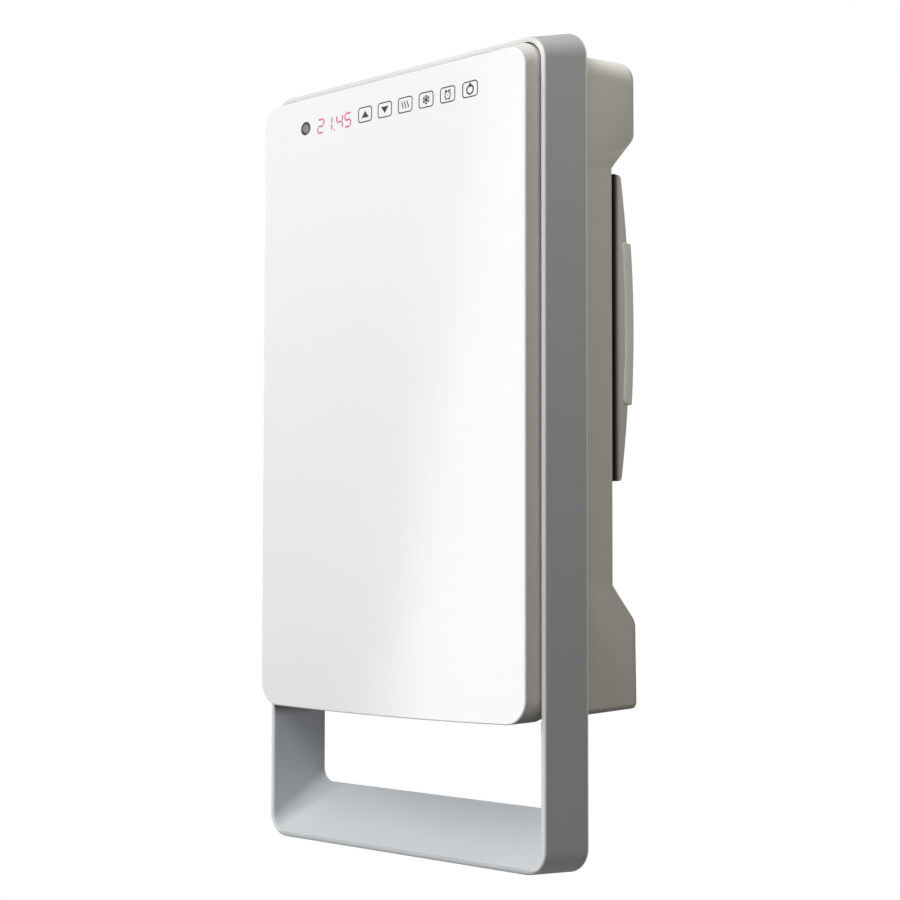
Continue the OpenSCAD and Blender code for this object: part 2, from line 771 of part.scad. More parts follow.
module fan_scroll() {
    tip = fan_at(tongue_a, fan_r + tip_gap + 0.5);
    bend = [duct_y0, fan_z - fan_r - 4];
    color("darkgray") difference() {
        union() {
            along_x(2*scroll_x) polygon(concat([[duct_y1, floor_z]],
                [for (a = [0:6:guide_end]) fan_at(a, guide_at(a))],
                [for (a = [guide_end:-6:0]) fan_at(a, guide_at(a) + duct_t)], [[duct_y1 + duct_t, floor_z]]));
            along_x(2*scroll_x) polygon([[duct_y0, floor_z], bend, tip, tip - [duct_t, 0.4],
                bend - [duct_t, 0.8], [duct_y0 - duct_t, floor_z]]);
            for (s = [-1, 1]) along_x(duct_t, s*(duct_hw + duct_t/2)) {
                translate([duct_y0 - duct_t, floor_z]) square([duct_d + 2*duct_t, fan_z - floor_z]);
                translate([fan_y, fan_z]) circle(r = guide_r + duct_t);
            }
            for (s = [0, 1]) mirror([s, 0, 0]) {
                box([scroll_x - duct_t, ear_x + ear_hw], [ear_y - ear_t, ear_y], [ear_z - 6, ear_z + 6]);
                box([scroll_x - duct_t, scroll_x], [fan_y + 20, ear_y], [ear_z - 6, ear_z + 6]);
            }
        }
        rod_x(fan_y, fan_z, motor_boss_r + 0.3, duct_hw - 1, scroll_x + 1);
        rod_x(fan_y, fan_z, bush_r + seat, -scroll_x - 1, -duct_hw + 1);
        for (p = motor_holes) rod_x(p[0], p[1], m3_r + seat, duct_hw - 1, scroll_x + 1);
        for (s = [-1, 1]) rod_y(s*ear_x, ear_z, m3_r + 0.2, ear_y - ear_t - 1, ear_y + 1);
        rod_y(lead_hole_x, core_bot + core_h/2, 3, duct_y0 - duct_t - 1, duct_y0 + 1);
    }
}

lead_hole_x = 70;
bush_r = 7;
bush_l = 9;
motor_boss_r = 8;
motor_ring_t = 2;
motor_x = scroll_x + motor_ring_t;
motor_bolt_r = 15;
motor_bite = 5;
motor_holes = [for (a = [90, 210, 330]) fan_at(a, motor_bolt_r)];

module scroll_screws() {
    color("silver") for (s = [-1, 1])
        translate([s*ear_x, ear_y - ear_t, ear_z]) rotate([-90, 0, 0]) screw(m3_r, ear_t + 6);
}

disc_t = 1.6;
hub_r = 7;
blade_chord = 7;
blade_t = 1;
shaft_x0 = -scroll_x - 6;
shaft_x1 = motor_x + motor_len - 6;

// One blade's outline: an arc from the wheel's rim inwards, leaning forward
function blade_edge(off) = [for (u = [0:0.25:1])
    let(r = fan_r - 0.6 - blade_chord*u, a = 14*u*(1 - 0.45*u) + off*(180/PI)/r) [r*cos(a), r*sin(a)]];

module fan_wheel() {
    edge = concat(blade_edge(blade_t/2), [for (i = [4:-1:0]) blade_edge(-blade_t/2)[i]]);
    color("dimgray") difference() {
        translate([0, fan_y, fan_z]) rotate([90, 0, 90]) union() {
            translate([0, 0, -fan_len/2 + 0.4]) linear_extrude(fan_len - 0.8)
                for (i = [0:blade_n - 1]) rotate(i*360/blade_n) polygon(edge);
            for (x = [-fan_len/2, fan_len/2 - disc_t]) translate([0, 0, x]) cylinder(r = fan_r, h = disc_t);
            for (i = [-1:1]) translate([0, 0, i*fan_len/4 - disc_t/2]) difference() {
                cylinder(r = fan_r, h = disc_t);
                translate([0, 0, -1]) cylinder(r = fan_r - blade_chord - 3, h = disc_t + 2);
            }
            for (x = [-fan_len/2, fan_len/2 - 8]) translate([0, 0, x]) cylinder(r = hub_r, h = 8);
        }
        rod_x(fan_y, fan_z, shaft_r + 0.02, -fan_len/2 - 1, fan_len/2 + 1);
    }
}

module fan_shaft() {
    color("silver") rod_x(fan_y, fan_z, shaft_r, shaft_x0, shaft_x1);
}

module fan_bush() {
    color("goldenrod") difference() {
        union() {
            rod_x(fan_y, fan_z, bush_r, -duct_hw - bush_l, -duct_hw);
            rod_x(fan_y, fan_z, bush_r + 3, -scroll_x - 2, -scroll_x);
        }
        rod_x(fan_y, fan_z, shaft_r + run_fit, -duct_hw - bush_l - 1, -duct_hw + 1);
    }
}

module fan_motor() {
    r = motor_dia/2;
    color("dimgray") difference() {
        union() {
            rod_x(fan_y, fan_z, r, motor_x, motor_x + motor_len);
            rod_x(fan_y, fan_z, motor_boss_r, duct_hw + 0.5, motor_x + 1);
            box([motor_x + 6, motor_x + 18], [fan_y - 8, fan_y + 8], [fan_z + r - 3, fan_z + r + 5]);
        }
        rod_x(fan_y, fan_z, shaft_r + run_fit, duct_hw - 1, shaft_x1 + 0.5);
        for (p = motor_holes) rod_x(p[0], p[1], m3_r + seat, motor_x - 1, motor_x + motor_bite);
        for (a = [0:45:315]) let(q = fan_at(a + 22.5, r))
            rod_x(q[0], q[1], 2, motor_x + 5, motor_x + motor_len - 5);
    }
}

module motor_ring() {
    color("dimgray") difference() {
        rod_x(fan_y, fan_z, motor_bolt_r + 5, scroll_x, motor_x);
        rod_x(fan_y, fan_z, motor_boss_r + 0.3, scroll_x - 1, motor_x + 1);
        for (p = motor_holes) rod_x(p[0], p[1], m3_r + seat, scroll_x - 1, motor_x + 1);
    }
}

module motor_screws() {
    color("silver") for (p = motor_holes)
        translate([duct_hw, p[0], p[1]]) rotate([0, 90, 0]) screw(m3_r, duct_t + motor_ring_t + motor_bite - 0.6);
}

// ---------- heating element ----------

core_wall = 2.2;
core_lip = 1.5;
core_hw = duct_hw - part_gap;
core_y0 = duct_y0 + part_gap;
core_y1 = duct_y1 - part_gap;
bar_n = 4;

module core_frame() {
    color("ivory") difference() {
        box([-core_hw, core_hw], [core_y0, core_y1], [core_bot, core_bot + core_h + core_lip + 1]);
        box([-core_hw + core_wall, core_hw - core_wall], [core_y0 + core_wall, core_y1 - core_wall],
            [core_bot + core_lip, core_bot + core_h + 10]);
        box([-core_hw + 2*core_wall, core_hw - 2*core_wall], [core_y0 + 2*core_wall, core_y1 - 2*core_wall],
            [core_bot - 1, core_bot + core_h]);
        rod_y(lead_hole_x, core_bot + core_h/2, 1.6, core_y0 - 1, core_y0 + core_wall + 1);
    }
}

module heating_core() {
    hw = core_hw - core_wall - 0.2;
    y0 = core_y0 + core_wall + 0.2;
    d = core_y1 - core_wall - 0.2 - y0;
    row = (d - bar_n*bar_t)/(bar_n - 1);
    step = (2*hw - fin_t)/fin_n;
    color("silver") translate([0, 0, core_bot + core_lip]) linear_extrude(core_h) difference() {
        translate([-hw, y0]) square([2*hw, d]);
        for (j = [0:bar_n - 2], i = [0:fin_n - 1])
            translate([-hw + fin_t + i*step, y0 + bar_t + j*(row + bar_t)]) square([step - fin_t, row]);
    }
}

cutout_x = 30;

module thermal_cutout() {
    z = core_bot + core_h/2;
    y = duct_y0 - duct_t;
    color("black") {
        box([cutout_x - 14, cutout_x + 14], [y - 1.2, y - 0.05], [z - 6, z + 6]);
        rod_y(cutout_x, z, 8.5, y - 8, y - 1);
        for (s = [-1, 1]) box([cutout_x + 5*s - 2.4, cutout_x + 5*s + 2.4], [y - 15, y - 7], [z - 0.4, z + 0.4]);
    }
}

probe_x = 72;

module temperature_probe() {
    z = filter_z - inlet_hh + 12;
    y = inner_y - 1.5;
    color("black") {
        box([probe_x - 4, probe_x + 4], [y - 3, y - 0.05], [z - 6, z + 6]);
        rod_y(probe_x, z, 2, y - 9, y - 2);
        translate([probe_x, y - 9, z]) sphere(r = 2.6);
    }
}

// ---------- electronics ----------

board_back = board_y + board_t;

module power_board() {
    color("darkgreen") difference() {
        box([board_x - board_w/2, board_x + board_w/2], [board_y, board_back], [board_z - board_h/2, board_z + board_h/2]);
        for (p = board_corners) rod_y(p[0], p[1], m3_r + 0.2, board_y - 1, board_back + 1);
    }
}

plug_dz = -44;       // height of the motor's plug from the board's middle

// A block on the power board, placed from the board's middle
module on_board(x, z, w, h, d) {
    box([board_x + x - w/2, board_x + x + w/2], [board_back, board_back + d], [board_z + z - h/2, board_z + z + h/2]);
}

module board_parts() {
    color("slategray") {
        for (i = [0:2]) on_board(-46 + i*25, 34, 19, 16, 16);
        on_board(42, 26, 34, 30, 24);
        rod_y(board_x - 50, board_z - 8, 9, board_back, board_back + 22);
        rod_y(board_x - 26, board_z - 8, 6, board_back, board_back + 14);
        difference() {
            on_board(18, -12, 46, 22, 24);
            for (i = [-3:3]) box([board_x + 18 + 6*i - 1.6, board_x + 18 + 6*i + 1.6],
                [board_back + 5, board_back + 25], [board_z - 24, board_z]);
        }
        on_board(ribbon_x - board_x, board_h/2 - 6, 20, 7, 5);
        for (i = [0:3]) on_board(-50 + 24*i, -board_h/2 + 8, 14, 10, 9);
        on_board(56, plug_dz, 12, 8, 8);
    }
}

module buzzer() {
    color("black") difference() {
        rod_y(board_x + 58, board_z - 14, 6, board_back, board_back + 8);
        rod_y(board_x + 58, board_z - 14, 1.2, board_back + 4, board_back + 9);
    }
}

module board_screws() {
    color("silver") for (p = board_corners)
        translate([p[0], board_back, p[1]]) rotate([90, 0, 0]) screw(m3_r, board_t + board_bite - 1);
}

module touch_board() {
    color("darkgreen") difference() {
        box([-touch_hw, touch_hw], [cover_in_y, cover_in_y + touch_t], [touch_z0, touch_z1]);
        for (s = [-1, 1]) rod_y(s*touch_screw_x, key_z, m3_r + 0.2, cover_in_y - 1, cover_in_y + touch_t + 1);
    }
}

module touch_screws() {
    color("silver") for (s = [-1, 1]) translate([s*touch_screw_x, cover_in_y + touch_t, key_z])
        rotate([90, 0, 0]) screw(m3_r, touch_t + touch_bite - 0.3);
}

module touch_pads() {
    color("black") for (i = [0:key_n - 1]) let(x = key_first + i*key_pitch)
        box([x - key_w/2 + 1.5, x + key_w/2 - 1.5], [panel_y + panel_t + 0.1, cover_in_y],
            [key_z - key_h/2 + 1.5, key_z + key_h/2 - 1.5]);
}

display_x = (sensor_x + lens_r + key_first - key_w/2)/2;

module display_module() {
    color("black") difference() {
        box([display_x - display_w/2, display_x + display_w/2], [panel_y + panel_t + 0.2, cover_in_y],
            [key_z - display_h/2, key_z + display_h/2]);
        for (i = [0:3]) let(x = display_x + (i - 1.5)*display_w/4.4)
            box([x - 3.2, x + 3.2], [panel_y + panel_t, panel_y + panel_t + 0.8], [key_z - 5, key_z + 5]);
    }
}

module sensor_lens() {
    dome = 0.7;
    dome_r = (lens_r*lens_r + dome*dome)/(2*dome);
    color([0.2, 0.2, 0.22]) {
        rod_y(sensor_x, key_z, lens_r, panel_y, panel_y + panel_t + 0.1);
        rod_y(sensor_x, key_z, lens_r + 1.4, panel_y + panel_t, panel_y + panel_t + 0.7);
        intersection() {
            translate([sensor_x, panel_y - dome + dome_r, key_z]) sphere(r = dome_r, $fn = 96);
            rod_y(sensor_x, key_z, lens_r + 1, panel_y - dome - 1, panel_y + 0.1);
        }
    }
}

module sensor_can() {
    color("silver") {
        rod_y(sensor_x, key_z, 4.1, panel_y + panel_t + 0.8, cover_in_y);
        rod_y(sensor_x, key_z, 4.8, cover_in_y - 0.6, cover_in_y);
    }
}

// ---------- leads ----------

// A flat strip of thickness t along the open path p, as an outline
function strip(p, t) =
    let(k = len(p), side = [for (i = [0:k - 1])
        let(u = unit(p[min(i + 1, k - 1)] - p[max(i - 1, 0)])) [-u[1], u[0]]*t/2])
    concat([for (i = [0:k - 1]) p[i] + side[i]], [for (i = [k - 1:-1:0]) p[i] - side[i]]);

ribbon_x = 5;
ribbon_w = 16;
ribbon_t = 0.8;

module ribbon_cable() {
    y0 = cover_in_y + touch_t + ribbon_t/2 + 0.05;
    z1 = board_z + board_h/2;
    color("lightgray") along_x(ribbon_w, ribbon_x) polygon(strip([[y0, touch_z0 + 12], [y0, touch_z0 + 2],
        [y0 + 3, touch_z0 - 8], [y0 + 5, z1 + 26], [board_back + 3, z1 + 10], [board_back + 6, z1 + 2],
        [board_back + 5.5, z1 - 6]], ribbon_t));
}

lead_r = 1.3;

module heater_leads() {
    z = core_bot + core_h/2;
    y = duct_y0 - duct_t;
    zb = board_z - board_h/2 + 8;
    color("firebrick") {
        lead([[board_x - 2, board_back + 9.15, zb], [board_x - 2, board_back + 14, zb],
            [cutout_x - 5, cover_in_y + 14, zb - 40], [cutout_x - 5, cover_in_y + 12, z + 24],
            [cutout_x - 5, y - 18, z], [cutout_x - 5, y - 15.1, z]], lead_r);
        lead([[board_x + 22, board_back + 9.15, zb], [board_x + 22, board_back + 14, zb],
            [lead_hole_x, cover_in_y + 14, zb - 40], [lead_hole_x, cover_in_y + 12, z + 24],
            [lead_hole_x, y - 14, z], [lead_hole_x, core_y0 + 1, z]], lead_r);
    }
}

module motor_lead() {
    x = board_x + 56;
    z = board_z + plug_dz;
    xm = motor_x + 12;
    xp = post_x - boss_r - 7;
    color("navy") lead([[x, board_back + 8.15, z], [x, board_back + 14, z], [x + 30, board_back + 14, z - 20],
        [xp, fan_y, z - 50], [xp, fan_y, post_z[0] - 8], [xm, fan_y, fan_z + motor_dia/2 + 5.8]], 2);
}

module mains_leads() {
    zb = board_z - board_h/2 + 8;
    color("saddlebrown") for (i = [0, 1]) let(x = cable_x - 9 + 9*i, xs = -scroll_x - 18 + 4*i, xb = board_x - 50 + 24*i)
        lead([[x, block_y0 + 5, floor_z + block_h - 4.9], [x, block_y0 + 5, floor_z + block_h + 12],
            [xs, inner_y - 32, recess_bot - 20], [xs, inner_y - 36, fan_z + 46],
            [xb, board_back + 14, zb - 24], [xb, board_back + 14, zb], [xb, board_back + 9.15, zb]], lead_r);
}

front_panel();
panel_tape();
front_cover();
rear_housing();
towel_frame();
rail_liner();
frame_screws();
cover_screws();
outlet_grille();
inlet_grille();
filter_cassette();
filter_mesh();
filter_grip();
wall_bracket();
cable_grommet();
terminal_block();
fan_scroll();
scroll_screws();
fan_wheel();
fan_shaft();
fan_bush();
fan_motor();
motor_ring();
motor_screws();
heating_core();
core_frame();
thermal_cutout();
temperature_probe();
power_board();
board_parts();
buzzer();
board_screws();
touch_board();
touch_screws();
touch_pads();
display_module();
sensor_lens();
sensor_can();
ribbon_cable();
heater_leads();
motor_lead();
mains_leads();
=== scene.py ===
import bmesh
import bpy
import math
import numpy as np
from mathutils import Matrix, Vector


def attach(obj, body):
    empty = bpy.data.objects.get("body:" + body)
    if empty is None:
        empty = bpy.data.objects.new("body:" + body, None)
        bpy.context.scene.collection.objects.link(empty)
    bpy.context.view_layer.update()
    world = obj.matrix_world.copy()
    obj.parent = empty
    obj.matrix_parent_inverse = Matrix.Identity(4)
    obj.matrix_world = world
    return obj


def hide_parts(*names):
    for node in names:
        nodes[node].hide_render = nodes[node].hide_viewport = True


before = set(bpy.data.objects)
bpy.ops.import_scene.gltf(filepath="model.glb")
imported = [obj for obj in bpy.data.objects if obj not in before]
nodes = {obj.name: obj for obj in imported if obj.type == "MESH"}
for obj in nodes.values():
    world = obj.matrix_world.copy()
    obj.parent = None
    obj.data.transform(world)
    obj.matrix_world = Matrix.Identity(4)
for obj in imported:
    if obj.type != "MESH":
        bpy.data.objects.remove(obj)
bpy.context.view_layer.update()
print("frame loaded:", len(nodes), "nodes")

# Lengths in the dictionaries below are millimetres; the meshes are metres.
mm = 0.001


# Node helpers.
# A shader node with values for its inputs, by name; a group node gets its group first.
def newNode(tree, kind, values=None, group=None):
    node = tree.nodes.new(kind)
    if group:
        node.node_tree = group
    for key, value in (values or {}).items():
        node.inputs[key].default_value = value
    return node


def link(tree, *pairs):
    for source, target in pairs:
        tree.links.new(source, target)


# A Math node; each value is a number or another node's output.
def mathNode(tree, kind, *values):
    node = newNode(tree, "ShaderNodeMath")
    node.operation = kind
    for socket, value in zip(node.inputs, values):
        if hasattr(value, "is_output"):
            tree.links.new(value, socket)
        else:
            socket.default_value = value
    return node.outputs[0]


# A Vector Math node between other nodes' outputs.
def vectorNode(tree, kind, a, b=None):
    node = newNode(tree, "ShaderNodeVectorMath")
    node.operation = kind
    tree.links.new(a, node.inputs[0])
    if b is not None:
        tree.links.new(b, node.inputs["Scale"] if kind == "SCALE" else node.inputs[1])
    return node.outputs["Value"] if kind == "LENGTH" else node.outputs[0]


# Camera and light.
cameraView = dict(place=(903.6, -1094.2, -365.1), yaw=41.28, pitch=2.71, roll=0.09, lens=66.91, sensor=36,
                  shiftX=-0.0042, shiftY=0.0296, nearest=50, farthest=60000)


# The camera stands at its place, looks along its yaw and pitch, and is rolled about that line.
def placeCamera(v):
    yaw, pitch, roll = (math.radians(v[k]) for k in ("yaw", "pitch", "roll"))
    ahead = Vector((-math.sin(yaw) * math.cos(pitch), math.cos(yaw) * math.cos(pitch), math.sin(pitch)))
    side = ahead.cross(Vector((0, 0, 1))).normalized()
    up = side.cross(ahead)
    turned = side * math.cos(roll) + up * math.sin(roll)
    up = turned.cross(ahead)
    data = bpy.data.cameras.new("camera")
    data.lens, data.sensor_width = v["lens"], v["sensor"]
    data.shift_x, data.shift_y = v["shiftX"], v["shiftY"]
    data.clip_start, data.clip_end = v["nearest"] * mm, v["farthest"] * mm
    cam = bpy.data.objects.new("camera", data)
    bpy.context.collection.objects.link(cam)
    turn = Matrix((turned, up, -ahead)).transposed().to_4x4()
    cam.matrix_world = Matrix.Translation(Vector(v["place"]) * mm) @ turn
    bpy.context.scene.camera = cam


softLights = [  # name, place, target, width and height in metres, tilt in degrees, strength in watts
    ("keySoftbox", (-1.12, -1.9, 0.25), (-1.12, 0, 0.25), 0.66, 2.3, -11, 24.1),
    ("upperSoftbox", (0.1, -2.0, 0.95), (0, -0.1, -0.15), 1.1, 0.9, 0, 29.7),
    ("topSoftbox", (-0.4, -1.3, 1.7), (-0.1, -0.1, -0.3), 1.2, 1.0, 0, 11.9),
    ("sideCard", (0.8, -0.1, 1.0), (0.1, -0.05, 0), 0.5, 0.5, 0, 5.8),
    ("backCard", (-1.9, 1.0, 0.4), (0, 0, -0.25), 1.2, 1.2, 0, 5),
]
keyFade = dict(low=1.0, high=0.0)  # share of the key's strength at its lower and upper end
roomLight = dict(strength=0.225, floorDrop=1350, floorHalf=9000, floorBehind=12000, floorTone=0.4, floorGlow=0.85,
                 fadeFrom=1500, fadeTo=2200)


# Rectangular lamps, each turned to its target and then tilted about that line.
def placeLights():
    for name, place, target, width, height, tilt, strength in softLights:
        data = bpy.data.lights.new(name, "AREA")
        data.shape, data.size, data.size_y = "RECTANGLE", width, height
        data.energy = strength
        lamp = bpy.data.objects.new(name, data)
        bpy.context.collection.objects.link(lamp)
        aim = (Vector(target) - Vector(place)).to_track_quat("-Z", "Y")
        lamp.matrix_world = (Matrix.Translation(place) @ aim.to_matrix().to_4x4()
                             @ Matrix.Rotation(math.radians(tilt), 4, "Z"))
        if name == "keySoftbox":
            fadeLight(data, keyFade)


# The light's strength runs straight from one value at its lower end to another at its upper end.
def fadeLight(data, v):
    data.use_nodes = True
    tree = data.node_tree
    tree.nodes.clear()
    out = newNode(tree, "ShaderNodeOutputLight")
    glow = newNode(tree, "ShaderNodeEmission")
    across = newNode(tree, "ShaderNodeNewGeometry")
    parts = newNode(tree, "ShaderNodeSeparateXYZ")
    ramp = newNode(tree, "ShaderNodeMapRange", {"To Min": v["low"], "To Max": v["high"]})
    link(tree, (across.outputs["Parametric"], parts.inputs[0]), (parts.outputs["Y"], ramp.inputs["Value"]),
         (ramp.outputs["Result"], glow.inputs["Strength"]), (glow.outputs[0], out.inputs["Surface"]))


# A white room: full white to the camera, and a weaker light on everything else.
def softRoom(v):
    world = bpy.data.worlds.new("room")
    bpy.context.scene.world = world
    world.use_nodes = True
    tree = world.node_tree
    tree.nodes.clear()
    out = newNode(tree, "ShaderNodeOutputWorld")
    seen = newNode(tree, "ShaderNodeBackground", {"Color": (1, 1, 1, 1), "Strength": 1.0})
    lit = newNode(tree, "ShaderNodeBackground", {"Color": (1, 1, 1, 1), "Strength": v["strength"]})
    mix = newNode(tree, "ShaderNodeMixShader")
    path = newNode(tree, "ShaderNodeLightPath")
    link(tree, (path.outputs["Is Camera Ray"], mix.inputs["Fac"]), (lit.outputs[0], mix.inputs[1]),
         (seen.outputs[0], mix.inputs[2]), (mix.outputs[0], out.inputs["Surface"]))


# A flat floor well below the heater. It lights other things as plain matt grey; to the camera it glows as well, and
# it fades to full white with the distance from the middle.
def paleFloor(v):
    half, behind, z = v["floorHalf"] * mm, v["floorBehind"] * mm, -v["floorDrop"] * mm
    mesh = bpy.data.meshes.new("floor")
    mesh.from_pydata([(-half, -half, z), (half, -half, z), (half, behind, z), (-half, behind, z)], [],
                     [(0, 1, 2, 3)])
    floor = bpy.data.objects.new("floor", mesh)
    bpy.context.collection.objects.link(floor)
    mat = bpy.data.materials.new("paleFloor")
    mat.use_nodes = True
    tree = mat.node_tree
    tree.nodes.clear()
    out = newNode(tree, "ShaderNodeOutputMaterial")
    matt = newNode(tree, "ShaderNodeBsdfDiffuse", {"Color": (v["floorTone"], v["floorTone"], v["floorTone"], 1)})
    glow = newNode(tree, "ShaderNodeEmission", {"Strength": v["floorGlow"]})
    add = newNode(tree, "ShaderNodeAddShader")
    mix = newNode(tree, "ShaderNodeMixShader")
    fade = newNode(tree, "ShaderNodeMixShader")
    white = newNode(tree, "ShaderNodeEmission")
    path = newNode(tree, "ShaderNodeLightPath")
    place = newNode(tree, "ShaderNodeTexCoord")
    reach = vectorNode(tree, "LENGTH", place.outputs["Object"])
    ring = newNode(tree, "ShaderNodeMapRange", {"From Min": v["fadeFrom"] * mm, "From Max": v["fadeTo"] * mm})
    ring.interpolation_type = "SMOOTHSTEP"
    link(tree, (reach, ring.inputs["Value"]), (matt.outputs[0], add.inputs[0]), (glow.outputs[0], add.inputs[1]),
         (ring.outputs["Result"], fade.inputs["Fac"]), (add.outputs[0], fade.inputs[1]),
         (white.outputs[0], fade.inputs[2]), (path.outputs["Is Camera Ray"], mix.inputs["Fac"]),
         (matt.outputs[0], mix.inputs[1]), (fade.outputs[0], mix.inputs[2]), (mix.outputs[0], out.inputs["Surface"]))
    mesh.materials.append(mat)


bpy.context.scene.view_settings.view_transform = "Standard"
placeCamera(cameraView)
placeLights()
softRoom(roomLight)
paleFloor(roomLight)
print("camera and light placed")


# Shared effects.
# A node group with the input sockets (type, name, value) and the output sockets (type, name).
def newGroup(name, inputs, outputs):
    group = bpy.data.node_groups.new(name, "ShaderNodeTree")
    for kind, label, value in inputs:
        socket = group.interface.new_socket(name=label, in_out="INPUT", socket_type=kind)
        socket.default_value = value
    for kind, label in outputs:
        group.interface.new_socket(name=label, in_out="OUTPUT", socket_type=kind)
    return group, group.nodes.new("NodeGroupInput"), group.nodes.new("NodeGroupOutput")


# Moulded plastic: a fine eroded texture for the bump, a slow drift of tone, and roughness that follows both.
def mouldedGrainGroup():
    tree, gin, gout = newGroup(
        "mouldedGrain",
        [("NodeSocketColor", "Color", (0.8, 0.8, 0.8, 1)), ("NodeSocketFloat", "Grain Size", 900.0),
         ("NodeSocketFloat", "Drift", 0.03), ("NodeSocketFloat", "Roughness", 0.4),
         ("NodeSocketFloat", "Rough Drift", 0.08), ("NodeSocketFloat", "Rough Grain", 0.06)],
        [("NodeSocketColor", "Color"), ("NodeSocketFloat", "Roughness"), ("NodeSocketFloat", "Height")])
    place = newNode(tree, "ShaderNodeTexCoord")
    grain = newNode(tree, "ShaderNodeTexNoise", {"Detail": 3})
    slow = newNode(tree, "ShaderNodeTexNoise", {"Scale": 9, "Detail": 4})
    link(tree, (place.outputs["Object"], grain.inputs["Vector"]), (place.outputs["Object"], slow.inputs["Vector"]),
         (gin.outputs["Grain Size"], grain.inputs["Scale"]))
    drifted = mathNode(tree, "SUBTRACT", slow.outputs["Fac"], 0.5)
    gain = mathNode(tree, "MULTIPLY_ADD", drifted, gin.outputs["Drift"], 1.0)
    color = vectorNode(tree, "SCALE", gin.outputs["Color"], gain)
    rough = mathNode(tree, "MULTIPLY_ADD", drifted, gin.outputs["Rough Drift"], gin.outputs["Roughness"])
    grained = mathNode(tree, "SUBTRACT", grain.outputs["Fac"], 0.5)
    fine = mathNode(tree, "MULTIPLY_ADD", grained, gin.outputs["Rough Grain"], rough)
    link(tree, (color, gout.inputs["Color"]), (fine, gout.inputs["Roughness"]),
         (grain.outputs["Fac"], gout.inputs["Height"]))
    return tree


# Drawn or brushed metal: long streaks along one axis.
def metalStreakGroup():
    tree, gin, gout = newGroup(
        "metalStreaks",
        [("NodeSocketColor", "Color", (0.6, 0.6, 0.6, 1)), ("NodeSocketVector", "Stretch", (40, 900, 900)),
         ("NodeSocketFloat", "Roughness", 0.35), ("NodeSocketFloat", "Drift", 0.3),
         ("NodeSocketFloat", "Rough Drift", 0.25)],
        [("NodeSocketColor", "Color"), ("NodeSocketFloat", "Roughness"), ("NodeSocketFloat", "Height")])
    place = newNode(tree, "ShaderNodeTexCoord")
    stretched = vectorNode(tree, "MULTIPLY", place.outputs["Object"], gin.outputs["Stretch"])
    streak = newNode(tree, "ShaderNodeTexNoise", {"Scale": 1, "Detail": 3})
    tree.links.new(stretched, streak.inputs["Vector"])
    centred = mathNode(tree, "SUBTRACT", streak.outputs["Fac"], 0.5)
    gain = mathNode(tree, "MULTIPLY_ADD", centred, gin.outputs["Drift"], 1.0)
    color = vectorNode(tree, "SCALE", gin.outputs["Color"], gain)
    rough = mathNode(tree, "MULTIPLY_ADD", centred, gin.outputs["Rough Drift"], gin.outputs["Roughness"])
    link(tree, (color, gout.inputs["Color"]), (rough, gout.inputs["Roughness"]),
         (streak.outputs["Fac"], gout.inputs["Height"]))
    return tree


# Two colours: one near a point, line or plane, and the other beyond a band of distances from it. The axes say which
# directions count for the distance.
def nearColourGroup():
    tree, gin, gout = newGroup(
        "nearColour",
        [("NodeSocketColor", "Near", (0.5, 0.5, 0.5, 1)), ("NodeSocketColor", "Far", (0.2, 0.2, 0.2, 1)),
         ("NodeSocketVector", "Centre", (0, 0, 0)), ("NodeSocketVector", "Axes", (1, 0, 1)),
         ("NodeSocketFloat", "Start", 0.0), ("NodeSocketFloat", "End", 0.01)],
        [("NodeSocketColor", "Color")])
    place = newNode(tree, "ShaderNodeTexCoord")
    off = vectorNode(tree, "SUBTRACT", place.outputs["Object"], gin.outputs["Centre"])
    reach = vectorNode(tree, "LENGTH", vectorNode(tree, "MULTIPLY", off, gin.outputs["Axes"]))
    ramp = newNode(tree, "ShaderNodeMapRange")
    ramp.interpolation_type = "SMOOTHSTEP"
    mix = newNode(tree, "ShaderNodeMix")
    mix.data_type = "RGBA"  # its inputs 6 and 7 and its output 2 are then the colours
    link(tree, (reach, ramp.inputs["Value"]), (gin.outputs["Start"], ramp.inputs["From Min"]),
         (gin.outputs["End"], ramp.inputs["From Max"]), (ramp.outputs["Result"], mix.inputs[0]),
         (gin.outputs["Near"], mix.inputs[6]), (gin.outputs["Far"], mix.inputs[7]),
         (mix.outputs[2], gout.inputs["Color"]))
    return tree


mouldedGrain = mouldedGrainGroup()
nearColour = nearColourGroup()
metalStreaks = metalStreakGroup()


# A material: the group's colour, roughness and height go to the shader, the height as a bump of (strength, metres).
def finish(name, group, color, values, bump, specular=0.5, metallic=0.0, emission=0.0):
    mat = bpy.data.materials.new(name)
    mat.use_nodes = True
    tree = mat.node_tree
    shader = tree.nodes["Principled BSDF"]
    effect = newNode(tree, "ShaderNodeGroup", {"Color": (*color, 1), **values}, group)
    relief = newNode(tree, "ShaderNodeBump", {"Strength": bump[0], "Distance": bump[1]})
    link(tree, (effect.outputs["Color"], shader.inputs["Base Color"]),
         (effect.outputs["Roughness"], shader.inputs["Roughness"]),
         (effect.outputs["Height"], relief.inputs["Height"]), (relief.outputs["Normal"], shader.inputs["Normal"]))
    shader.inputs["Metallic"].default_value = metallic
    shader.inputs["Specular IOR Level"].default_value = specular
    if emission:
        tree.links.new(effect.outputs["Color"], shader.inputs["Emission Color"])
        shader.inputs["Emission Strength"].default_value = emission
    return mat


def plastic(name, color, rough=0.45, grain=900, drift=0.03, relief=0.15, depth=0.0002, **more):
    return finish(name, mouldedGrain, color, {"Grain Size": grain, "Drift": drift, "Roughness": rough},
                  (relief, depth), **more)


def metal(name, color, rough=0.35, stretch=(40, 900, 900), relief=0.1, depth=0.0001):
    return finish(name, metalStreaks, color, {"Stretch": stretch, "Roughness": rough}, (relief, depth), metallic=1.0)


